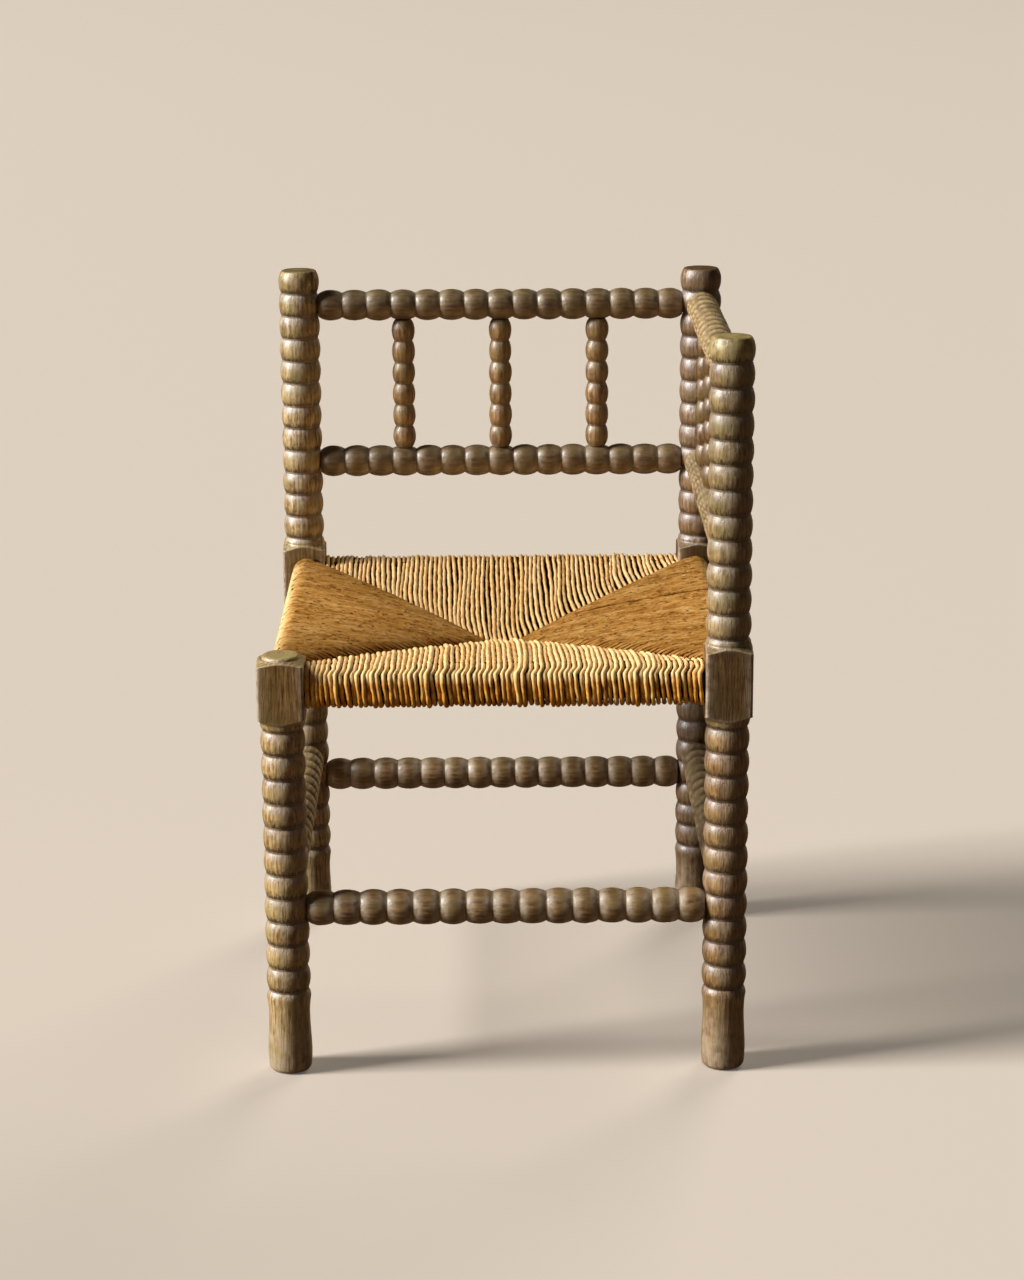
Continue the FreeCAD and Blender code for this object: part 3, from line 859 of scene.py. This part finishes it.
def make_bar(node, seed, material, groove, end):
    """One rail or stretcher between two posts, along the longer side of its CAD box."""
    low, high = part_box(node)
    axis = (1, 0, 0) if high.x - low.x > high.y - low.y else (0, 1, 0)
    crown = (high.z - low.z) / 2
    posts = middle_of("front_right_post") - middle_of("front_left_leg")
    length = posts.x - 2 * (POST_CROWN - POST_FLAT)
    profile = bar_profile(length, BAR_BEADS, crown, groove, end, seed)
    angles = circle(BAR_SIDES)
    place = lying(axis, (low + high) / 2)
    lathe(node, "rail_wood", profile, angles, material, place, BAR_DENTS, LONG_BANDS, lies=True)


def make_bars(woods):
    """Rails of the back and the arm side, and the four stretchers."""
    kinds = {
        "rail": (RAIL_SEED, RAIL_GROOVE, RAIL_END),
        "stretcher": (STRETCHER_SEED, STRETCHER_GROOVE, STRETCHER_END),
    }
    for kind, (first_seed, groove, end) in kinds.items():
        nodes = [node for node in woods if node.endswith(kind)]
        for seed, node in enumerate(nodes, start=first_seed):
            material = wood_material(f"bar_wood_{seed}", seed, *woods[node])
            make_bar(node, seed, material, groove, end)


def make_spindles(woods):
    """Three spindles in the back and three in the arm side."""
    angles = circle(SPINDLE_SIDES)
    for side, first_seed in SPINDLE_SEEDS.items():
        top = middle_of(f"{side}_top_rail").z
        lower = middle_of(f"{side}_lower_rail").z
        low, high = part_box(f"{side}_top_rail")
        rail_crown = (high.z - low.z) / 2
        length = top - lower - 2 * (rail_crown - SPINDLE_FLAT)
        for number in (1, 2, 3):
            node = f"{side}_spindle_{number}"
            seed = first_seed + number
            low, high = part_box(node)
            crown = (high.x - low.x) / 2
            profile = bar_profile(length, SPINDLE_BEADS, crown, SPINDLE_GROOVE, SPINDLE_END, seed)
            material = wood_material(f"spindle_wood_{seed}", seed, *woods[side])
            place = Matrix.Translation((low + high) / 2)
            lathe(node, "rail_wood", profile, angles, material, place, SPINDLE_DENTS, 1)


def rounded_path(corners, radii, arc_steps, run_step):
    """Points along a bent line with rounded corners, and where in them each arc starts."""
    corners = [np.array(c, float) for c in corners]
    points = [corners[0]]
    arc_starts = []
    bends = zip(corners, corners[1:], corners[2:], radii, arc_steps)
    for before, corner, after, radius, steps in bends:
        come = (before - corner) / np.linalg.norm(before - corner)
        leave = (after - corner) / np.linalg.norm(after - corner)
        half_angle = math.acos(np.clip(come @ leave, -1, 1)) / 2
        tangent = radius / math.tan(half_angle)
        middle = (come + leave) / np.linalg.norm(come + leave)
        centre = corner + middle * radius / math.sin(half_angle)
        start = corner + come * tangent
        stop = corner + leave * tangent
        run_to(points, start, run_step)
        arc_starts.append(len(points) - 1)
        turn = math.pi - 2 * half_angle
        for k in range(1, steps + 1):
            share = k / steps
            first = math.sin((1 - share) * turn) / math.sin(turn)
            second = math.sin(share * turn) / math.sin(turn)
            points.append(centre + (start - centre) * first + (stop - centre) * second)
    run_to(points, corners[-1], run_step)
    return np.array(points), arc_starts


def run_to(points, target, step):
    """Extends a list of points along a straight run to target, in even steps."""
    start = points[-1]
    count = max(1, round(np.linalg.norm(target - start) / step))
    for k in range(1, count + 1):
        points.append(start + (target - start) * k / count)


class SeatSide:
    """One side of the seat in its own frame: x along the rail, y inward from the post axes."""

    def __init__(self, name, turn, axis, winding):
        self.name = name
        self.turn = math.radians(turn)
        self.winding = winding
        block_low, block_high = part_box("front_right_post")
        self.block_half = (block_high.x - block_low.x) / 2
        self.line = abs(middle_of("front_right_post").x)
        self.half_run = self.line - self.block_half
        low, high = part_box(f"{name}_seat_rail")
        across = 1 if axis == "X" else 0
        faces = (abs(low[across]), abs(high[across]))
        self.face = self.line - max(faces) - RUSH_LIFT
        self.bottom = low.z - RUSH_LIFT
        self.crest = high.z + RUSH_LIFT + CREST_PACKING
        self.apex_half = BRIDGE_WIDTH / 2 if axis == "X" else 0.0
        self.depth = self.line if axis == "X" else self.line - BRIDGE_WIDTH / 2
        self.rail_inner = self.line - min(faces)
        self.centre_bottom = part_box("front_rush")[0].z
        self.centre_top = self.centre_bottom + CENTRE_DEPTH

    def share(self, y):
        return (y - self.face) / (self.depth - self.face)

    def top_at(self, y):
        return self.crest + self.share(y) * (self.centre_top - self.crest)

    def bottom_at(self, y):
        return self.bottom + self.share(y) * (self.centre_bottom - self.bottom)

    def mitre_at(self, x):
        """How far in the side reaches at x along its rail."""
        slope = (self.depth - self.block_half) / (self.half_run - self.apex_half)
        return min(self.block_half + (self.half_run - abs(x)) * slope, self.depth)

    def placed(self, points):
        """Points of the side's frame in the frame of the chair."""
        x, y, z = points[..., 0], points[..., 1] - self.line, points[..., 2]
        c, s = math.cos(self.turn), math.sin(self.turn)
        return np.stack([c * x - s * y, s * x + c * y, z], axis=-1)


@dataclass
class Winding:
    """How a side is wound: its swelling, its reach past the mitre, and how its cords lie."""

    material: bpy.types.Material
    puff: float
    overlap: float
    tuck_radius: float
    fullness: float
    flatness: float
    uneven: float
    drift: float
    lean: float = 0.0
    splay: float = 0.0
    dip: float = 0.0
    sunken: int = -1
    tip: float = 0.0
    lumpy: float = 1.0
    crowd: float = 0.0
    stagger: float = 0.00022


def drift_field(random):
    """A smooth sideways drift that neighbours share, by place and by length along the cord."""
    waves = []
    for length in DRIFT_LENGTHS:
        turns = random.uniform(*DRIFT_TURNS)
        phase = random.uniform(*PHASES)
        waves.append((2 * math.pi / length, turns, phase, DRIFT_SHARE * length))

    def drift(x, s):
        return sum(size * np.sin(kx * x + ks * s + phase) for kx, ks, phase, size in waves)

    return drift


def wander(random, s, length, size):
    """A smooth wander of one cord along its own length."""
    total = np.zeros_like(s)
    for share in WANDER_SHARES:
        total += share * np.sin(2 * math.pi * s / (length * share) + random.uniform(*PHASES))
    return size * total


def unit(vectors):
    return vectors / np.linalg.norm(vectors, axis=1)[:, None]


def cord_line(side, x):
    """Centre line of the cord at x, the length along it, and where it turns over and under."""
    is_bridge = abs(x) < side.apex_half
    lean_run = min(LEAN_RUN, side.mitre_at(x) - side.face)
    lean = (side.winding.lean + side.winding.splay * x / side.half_run) * lean_run / LEAN_RUN
    end = side.mitre_at(x + lean) + (BRIDGE_OVERLAP if is_bridge else side.winding.overlap)
    face = side.face + CORD_RADIUS
    top = side.top_at(end) - CORD_RADIUS
    low = side.bottom_at(end) + CORD_RADIUS
    dive = BRIDGE_DIVE * TUCK_DEPTH if is_bridge else TUCK_DEPTH
    corners = [
        (end + (BRIDGE_TURN if is_bridge else 0.0), top - dive),
        (end, top),
        (face, side.top_at(side.face) - CORD_RADIUS),
        (face, side.bottom + CORD_RADIUS),
        (end, low),
        (end, low + TUCK_DEPTH / 2),
    ]
    tuck = side.winding.tuck_radius
    radii = [tuck, ROLL_RADIUS - CORD_RADIUS, UNDER_ROLL_RADIUS - CORD_RADIUS, tuck]
    points, arcs = rounded_path(corners, radii, ARC_STEPS, RUN_STEP)
    line = np.zeros((len(points), 3))
    line[:, 0] = x
    line[:, 1:] = points
    rolled = arcs[1] + ARC_STEPS[1]
    y = points[: rolled + 1, 0]
    share = np.clip(side.share(y), 0, 1)
    off_mitre = np.clip((end - y) / MITRE_ROLL, 0, 1)
    puff = side.winding.puff * np.sin(math.pi * share)
    line[: rolled + 1, 2] += puff * (1 - (1 - off_mitre) ** 2)
    line[: rolled + 1, 2] -= side.winding.dip * (1 - off_mitre) ** 2
    steps = np.linalg.norm(np.diff(points, axis=0), axis=1)
    length = np.concatenate([[0], np.cumsum(steps)])
    line[:, 0] += lean * np.clip(1 - length / lean_run, 0, 1) ** 2
    return line, length, length[arcs[1] + CREST_STEP], length[arcs[2] + ARC_STEPS[2]]


def cord_tube(side, x, random, drift, kink, depth):
    """One cord, depth below its neighbours, with its wander, its kink at the edge and its twist."""
    winding = side.winding
    line, s, turn_s, under_s = cord_line(side, x)
    free = np.clip(1 - np.abs(x) / side.half_run, 0, HELD_SHARE) / HELD_SHARE
    line[:, 0] += winding.drift * free * drift(x, s) + wander(random, s, *SIDE_WANDER)
    come = np.clip((s - turn_s) / KINK_RUN + 1, 0, 1)
    back = np.clip((s - turn_s) / (under_s - turn_s), 0, 1)
    line[:, 0] -= kink * random.uniform(*KINK_RANGE) * come * (1 - back)
    tangent = unit(np.gradient(line, axis=0))
    outward = unit(np.cross(tangent, [1.0, 0.0, 0.0]))
    sideways = np.cross(outward, tangent)
    rise = random.normal(-depth, winding.stagger) + wander(random, s, *RISE_WANDER)
    line += outward * rise[:, None]
    even = 1 + winding.uneven * random.uniform(*EVEN_RANGE)
    lumps = winding.lumpy * (wander(random, s, *LONG_LUMPS) + wander(random, s, *SHORT_LUMPS))
    swollen = 1 + winding.tip * np.exp(-((s / TIP_RUN) ** 2))
    crowded = 1 + winding.crowd * (x / side.half_run) ** 2
    thickness = winding.fullness * CORD_RADIUS * (even + lumps) * swollen * crowded
    angle = circle(CORD_SIDES)
    twist = 2 * math.pi * s / random.uniform(*TWIST_LENGTH) + random.uniform(*PHASES)
    fibre_turn = angle[None, :] - twist[:, None]
    radius = thickness[:, None] * (1 + LOBE_SHARE * np.cos(2 * fibre_turn))
    up = winding.flatness * np.cos(angle)[None, :, None]
    across = np.sin(angle)[None, :, None]
    ring = outward[:, None, :] * up + sideways[:, None, :] * across
    points = line[:, None, :] + radius[..., None] * ring
    along = np.repeat(s[:, None], CORD_SIDES, axis=1)
    fibre_place = along * FIBRE_STRETCH + random.uniform(*FIBRE_PLACE)
    # Beside a block the cords lie in its shade, so the painted crest highlight fades out there
    out_of_block_shade = np.clip((side.half_run - abs(x)) / BLOCK_SHADE_RUN, 0, 1)
    values = {
        "fibre": np.stack([np.cos(fibre_turn), np.sin(fibre_turn), fibre_place], axis=-1),
        # How far round from the top each point lies, for the painted shade between cords
        "crevice": np.repeat(((1 - np.cos(angle)) / 2)[None, :], len(s), axis=0),
        "bleach": np.repeat(np.clip(outward[:, 2], 0, 1)[:, None], CORD_SIDES, axis=1),
        "tone": np.full(along.shape, random.uniform(0, 1)),
        "lay": np.stack([points[..., 0], along, np.full(along.shape, side.turn)], axis=-1),
        "crest": out_of_block_shade * np.exp(-(((along - turn_s) / CREST_BAND) ** 2)),
    }
    return side.placed(points), values


def wind_side(side, seed):
    """All the cords over one seat rail, as one piece."""
    random = np.random.default_rng(seed)
    drift = drift_field(random)
    pitch = 2 * side.half_run / CORDS_PER_SIDE
    tubes = Tubes(CORDS_PER_SIDE)
    for number in range(CORDS_PER_SIDE):
        x = -side.half_run + (number + 0.5) * pitch
        kink = KINK_SHIFT * min(1.0, max(0, number - 1) / KINK_EASE)
        depth = SUNKEN_DEPTH if number == side.winding.sunken else 0.0
        tubes.add(*cord_tube(side, x, random, drift, kink, depth))
    piece = tubes.piece(f"{side.name}_rush_cords", side.winding.material)
    settle(piece, "rush", f"{side.name}_rush")


def wad_behind(side, random):
    """Rings of the chaff between the upper and lower cords, from the rail to the mitre."""
    share = np.linspace(0, 1, WAD_POINTS)
    inner = RUSH_LIFT + WAD_ROUGH
    start = side.rail_inner + WAD_START
    rings = []
    for x in np.linspace(-WAD_REACH, WAD_REACH, WAD_RINGS) * side.half_run:
        stop = max(side.mitre_at(x) - WAD_STOP, start + WAD_STOP)
        y = start + (stop - start) * share
        top = side.top_at(y) - inner - random.uniform(0, WAD_ROUGH, len(y))
        low = side.bottom_at(y) + inner + random.uniform(0, WAD_ROUGH, len(y))
        over = np.stack([np.full_like(y, x), y, top], axis=-1)
        under = np.stack([np.full_like(y, x), y, low], axis=-1)
        rings.append(np.concatenate([over, under[::-1]]))
    return np.array(rings)


def pad_over(side, random):
    """Rings of the chaff that pads the top of the rail, rounded towards the outside."""
    outer = side.face + RUSH_LIFT
    low = side.crest - RUSH_LIFT - CREST_PACKING
    rise = side.crest - 2 * CORD_RADIUS - PAD_GAP - low
    turned = np.linspace(0, math.pi / 2, PAD_ARC)
    arc_y = outer + PAD_ROUND * (1 - np.cos(turned))
    arc_z = low + rise * np.sin(turned)
    flat_y = np.linspace(outer + PAD_ROUND, side.rail_inner, PAD_FLAT + 1)[1:]
    y = np.concatenate([arc_y, flat_y, [side.rail_inner]])
    z = np.concatenate([arc_z, np.full(PAD_FLAT, low + rise), [low]])
    rings = []
    for x in np.linspace(-1, 1, PAD_RINGS) * side.half_run:
        rough = random.uniform(0, PAD_ROUGH, len(y)) * (z > low)
        rings.append(np.stack([np.full_like(y, x), y, z - rough], axis=-1))
    return np.array(rings)


def stuff_seat(sides, material):
    """Dry chaff behind and over each rail, hidden by the cords."""
    tubes = Tubes(2 * len(sides))
    random = np.random.default_rng(STUFFING_SEED)
    for side in sides:
        tubes.add(side.placed(wad_behind(side, random)), {})
        tubes.add(side.placed(pad_over(side, random)), {})
    settle(tubes.piece("seat_stuffing", material), "stuffing", "rush_stuffing")


def loose_windings():
    """Front and back: round cords with dark gaps between them."""
    straw = ((0.74, 0.415, 0.135), (0.96, 0.635, 0.285), (0.98, 0.740, 0.400))
    brown = ((0.40, 0.152, 0.013), (0.86, 0.405, 0.062), (0.98, 0.69, 0.240))
    full_rush = Rush(brown, straw, dash=0.20, patchy=0.10, gap=(0.40, 0.62))
    open_rush = replace(full_rush, gap=(0.25, 0.46))
    front = Winding(
        rush_material("front_rush", full_rush), puff=0.0015, overlap=0.0062, tuck_radius=0.0036,
        fullness=1.08, flatness=1.20, uneven=0.10, drift=0.35, lean=-0.0045, splay=-0.0020,
        tip=0.10, lumpy=1.5, stagger=0.00050,
    )
    back = replace(
        front, material=rush_material("back_rush", open_rush, 0.84), overlap=0.0040, fullness=0.91,
        flatness=1.25, uneven=0.13, drift=0.70, lean=-0.0055, splay=0.0045, tip=0.20, lumpy=1.8,
        crowd=0.18, stagger=0.00045,
    )
    return front, back


def tight_windings():
    """Left and right: flat cords, pressed together."""
    golden = ((0.37, 0.158, 0.028), (0.65, 0.315, 0.073), (0.86, 0.52, 0.175))
    amber = ((0.30, 0.125, 0.022), (0.53, 0.255, 0.058), (0.72, 0.43, 0.140))
    tight_rush = Rush(amber, golden, dash=0.90, patchy=0.30, gap=(0.55, 0.95), centre=0.58)
    # The right side has less painted shade between its cords, as it faces the light
    smooth_rush = replace(tight_rush, gap=(0.85, 1.10), centre=0.85)
    left = Winding(
        rush_material("left_rush", tight_rush, 0.86), puff=0.0045, overlap=0.0010,
        tuck_radius=0.0060, fullness=1.45, flatness=0.34, uneven=0.03, drift=0.25, dip=0.0045,
    )
    right_material = rush_material("right_rush", smooth_rush, 0.67)
    right = replace(left, material=right_material, tuck_radius=0.0036, dip=0.0022, sunken=46)
    return left, right


def make_seat():
    """Rush over the four rails, the stuffing and the rails themselves."""
    front, back = loose_windings()
    left, right = tight_windings()
    sides = [
        SeatSide("front", 0, "X", front),
        SeatSide("right", 90, "Y", right),
        SeatSide("back", 180, "X", back),
        SeatSide("left", 270, "Y", left),
    ]
    for seed, side in enumerate(sides, start=RUSH_SEED):
        wind_side(side, seed)
    # Chaff, painted dark as the shade between the cords
    chaff = hidden_material(
        "stuffing", dark=(0.032, 0.015, 0.004), pale=(0.120, 0.060, 0.016), stretch=(1, 1, 3),
        scale=420.0, relief=(0.0012, 0.6), gloss=0.0, roughness=0.85,
    )
    stuff_seat(sides, chaff)
    # The seat rails, painted dark as the shade in the gaps between cords
    rail_wood = hidden_material(
        "seat_rail_wood", dark=(0.040, 0.024, 0.012), pale=(0.110, 0.072, 0.038),
        stretch=(0.5, 0.5, 1), scale=300.0, relief=(0.0005, 0.4), gloss=0.5, roughness=0.7,
    )
    for side in sides:
        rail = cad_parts[f"{side.name}_seat_rail"]
        rail.data.materials.clear()
        rail.data.materials.append(rail_wood)


def post_woods():
    """Wood, level, warmth and block tint of each post: pale olive, browner at the arm."""
    post = Wood(
        deep=(0.15, 0.074, 0.020), middle=(0.40, 0.262, 0.102), pale=(0.62, 0.450, 0.210),
        olive=(0.33, 0.260, 0.095), figure=0.10, fringe=0.92, sheen_and_dust=0.60, sheen_and_dust_colour=(0.46, 0.410, 0.415),
        grime_and_shade_from=0.88, roughness=(0.34, 0.46), coat=(0.75, 0.34),
    )
    brown = replace(
        post, middle=(0.31, 0.200, 0.078), pale=(0.55, 0.400, 0.180), olive=(0.26, 0.205, 0.070),
        sheen_and_dust=0.40, leg=(0.98, 0.83, 0.72),
    )
    streaked = replace(post, deep=(0.085, 0.044, 0.014), pale=(0.74, 0.560, 0.290), sheen_and_dust=0.68)
    ruddy = replace(
        post, middle=(0.36, 0.212, 0.105), pale=(0.56, 0.38, 0.20), olive=(0.27, 0.180, 0.082),
    )
    return {
        "front_left_leg": (post, 1.13, 0.02, (0.68, 0.57, 0.42)),
        "front_right_post": (brown, 0.86, 0.00, (0.54, 0.43, 0.31)),
        "back_left_post": (streaked, 1.10, 0.00, (0.50, 0.44, 0.35)),
        "back_right_post": (ruddy, 0.60, 0.02, (0.55, 0.48, 0.42)),
    }


def bar_woods():
    """Wood and level of each bar, and wood, level and warmth of the spindles of both sides."""
    bar = Wood(
        deep=(0.065, 0.030, 0.008), middle=(0.152, 0.079, 0.025), pale=(0.25, 0.146, 0.054),
        olive=(0.160, 0.109, 0.033), figure=0.14, fringe=0.0, sheen_and_dust=0.45, sheen_and_dust_colour=(0.25, 0.180, 0.072),
        grime_and_shade_from=0.94, roughness=(0.34, 0.46), coat=(1.0, 0.34), rim=0.36,
    )
    spindle = replace(bar, fringe=0.50, sheen_and_dust=0.60, sheen_and_dust_colour=(0.31, 0.250, 0.180), coat=(0.80, 0.34))
    arm_spindle = replace(spindle, sheen_and_dust=0.45, sheen_and_dust_colour=(0.23, 0.155, 0.110))
    # Stretchers: stronger wear and painted highlight on their bead shoulders
    stretcher = replace(bar, rim=0.90)
    worn_bar = replace(
        bar, deep=(0.050, 0.029, 0.012), middle=(0.150, 0.099, 0.044), pale=(0.250, 0.178, 0.088),
        olive=(0.150, 0.110, 0.044), fringe=0.55, grime_and_shade_from=0.32, coat=(0.50, 0.36), rim=0.10,
    )
    bars = {
        "back_top_rail": (bar, 0.88),
        "back_lower_rail": (bar, 0.88),
        "arm_top_rail": (worn_bar, 3.5),
        "arm_lower_rail": (worn_bar, 2.4),
        "front_stretcher": (stretcher, 1.5),
        "back_stretcher": (stretcher, 1.6),
        "left_stretcher": (worn_bar, 2.9),
        "right_stretcher": (worn_bar, 2.4),
    }
    return bars, {"back": (spindle, 1.95, -0.03), "arm": (arm_spindle, 0.95, 0.03)}


def make_wood():
    """All turned pieces, each cut from another part of the tree."""
    bars, spindles = bar_woods()
    make_posts(post_woods())
    make_bars(bars)
    make_spindles(spindles)


def make_camera():
    """Camera at the eye point, turned by its yaw, pitch and roll in degrees."""
    yaw, pitch, roll = (math.radians(angle) for angle in CAMERA_ANGLES)
    turned = Matrix.Rotation(-yaw, 4, "Z") @ Matrix.Rotation(math.pi / 2 + pitch, 4, "X")
    camera = add_object("camera", bpy.data.cameras.new("camera"))
    camera.data.sensor_width = SENSOR_LONG_SIDE
    camera.data.lens = CAMERA_FOCAL_PIXELS * SENSOR_LONG_SIDE / IMAGE_LONG_SIDE
    camera.matrix_world = Matrix.Translation(CAMERA_PLACE) @ turned @ Matrix.Rotation(roll, 4, "Z")
    bpy.context.scene.camera = camera


def make_lamp(name, kind, place, energy, colour, **settings):
    """A lamp that looks at the seat and isn't seen itself."""
    lamp = bpy.data.lights.new(name, kind)
    lamp.energy = energy
    lamp.color = colour
    for key, value in settings.items():
        setattr(lamp, key, value)
    holder = add_object(name, lamp)
    holder.location = place
    holder.rotation_euler = (SEAT - place).to_track_quat("-Z", "Y").to_euler()
    holder.visible_camera = False
    return holder


def away(side, height, reach):
    """A place reach metres from the seat, at the angles side and height."""
    side, height = math.radians(side), math.radians(height)
    level = math.cos(height)
    towards = (-math.sin(side) * level, -math.cos(side) * level, math.sin(height))
    return SEAT + reach * Vector(towards)


def make_light():
    """A soft key from the left, a weak broad light from behind, and a dim warm surround."""
    window = {"shape": "RECTANGLE", "size": WINDOW_WIDTH, "size_y": WINDOW_HEIGHT}
    key_place = away(*KEY_ANGLES, WINDOW_REACH)
    make_lamp("key", "AREA", key_place, WINDOW_POWER, KEY_COLOUR, **window)
    rear_place = away(*REAR_ANGLES, REAR_REACH)
    softness = math.radians(REAR_SOFTNESS)
    rear = make_lamp("rear", "SUN", rear_place, REAR_ENERGY, REAR_COLOUR, angle=softness)
    rear.visible_glossy = False
    world = bpy.data.worlds.new("surround")
    world.use_nodes = True
    tree = world.node_tree
    background = tree.nodes["Background"]
    background.inputs["Color"].default_value = PALE
    seen = tree.nodes.new("ShaderNodeLightPath").outputs["Is Camera Ray"]
    strength = tree.nodes.new("ShaderNodeMapRange")
    strength.inputs["To Min"].default_value = SURROUND_GIVES
    strength.inputs["To Max"].default_value = SURROUND_SEEN
    tree.links.new(seen, strength.inputs["Value"])
    tree.links.new(strength.outputs["Result"], background.inputs["Strength"])
    bpy.context.scene.world = world


def make_floor():
    """Plain floor that looks pale to the eye and throws little light back at the chair."""
    mesh = bpy.data.meshes.new("floor")
    reach = FLOOR_REACH
    corners = [(-reach, -reach, 0), (reach, -reach, 0), (reach, reach, 0), (-reach, reach, 0)]
    mesh.from_pydata(corners, [], [(0, 1, 2, 3)])
    look = Shader("floor")
    seen = look.node("ShaderNodeLightPath", {}).outputs["Is Camera Ray"]
    colour = look.mix(seen, FLOOR_GIVES, FLOOR_SEEN)
    mesh.materials.append(look.finish(colour, 0.9))
    look.gloss(0.0)
    look.put(look.surface.inputs["Emission Color"], PALE)
    glow = look.math("MULTIPLY", seen, FLOOR_GLOW)
    look.put(look.surface.inputs["Emission Strength"], glow)
    floor = add_object("floor", mesh)


make_camera()
make_wood()
make_seat()
make_light()
make_floor()
bpy.context.scene.view_settings.view_transform = "Standard"
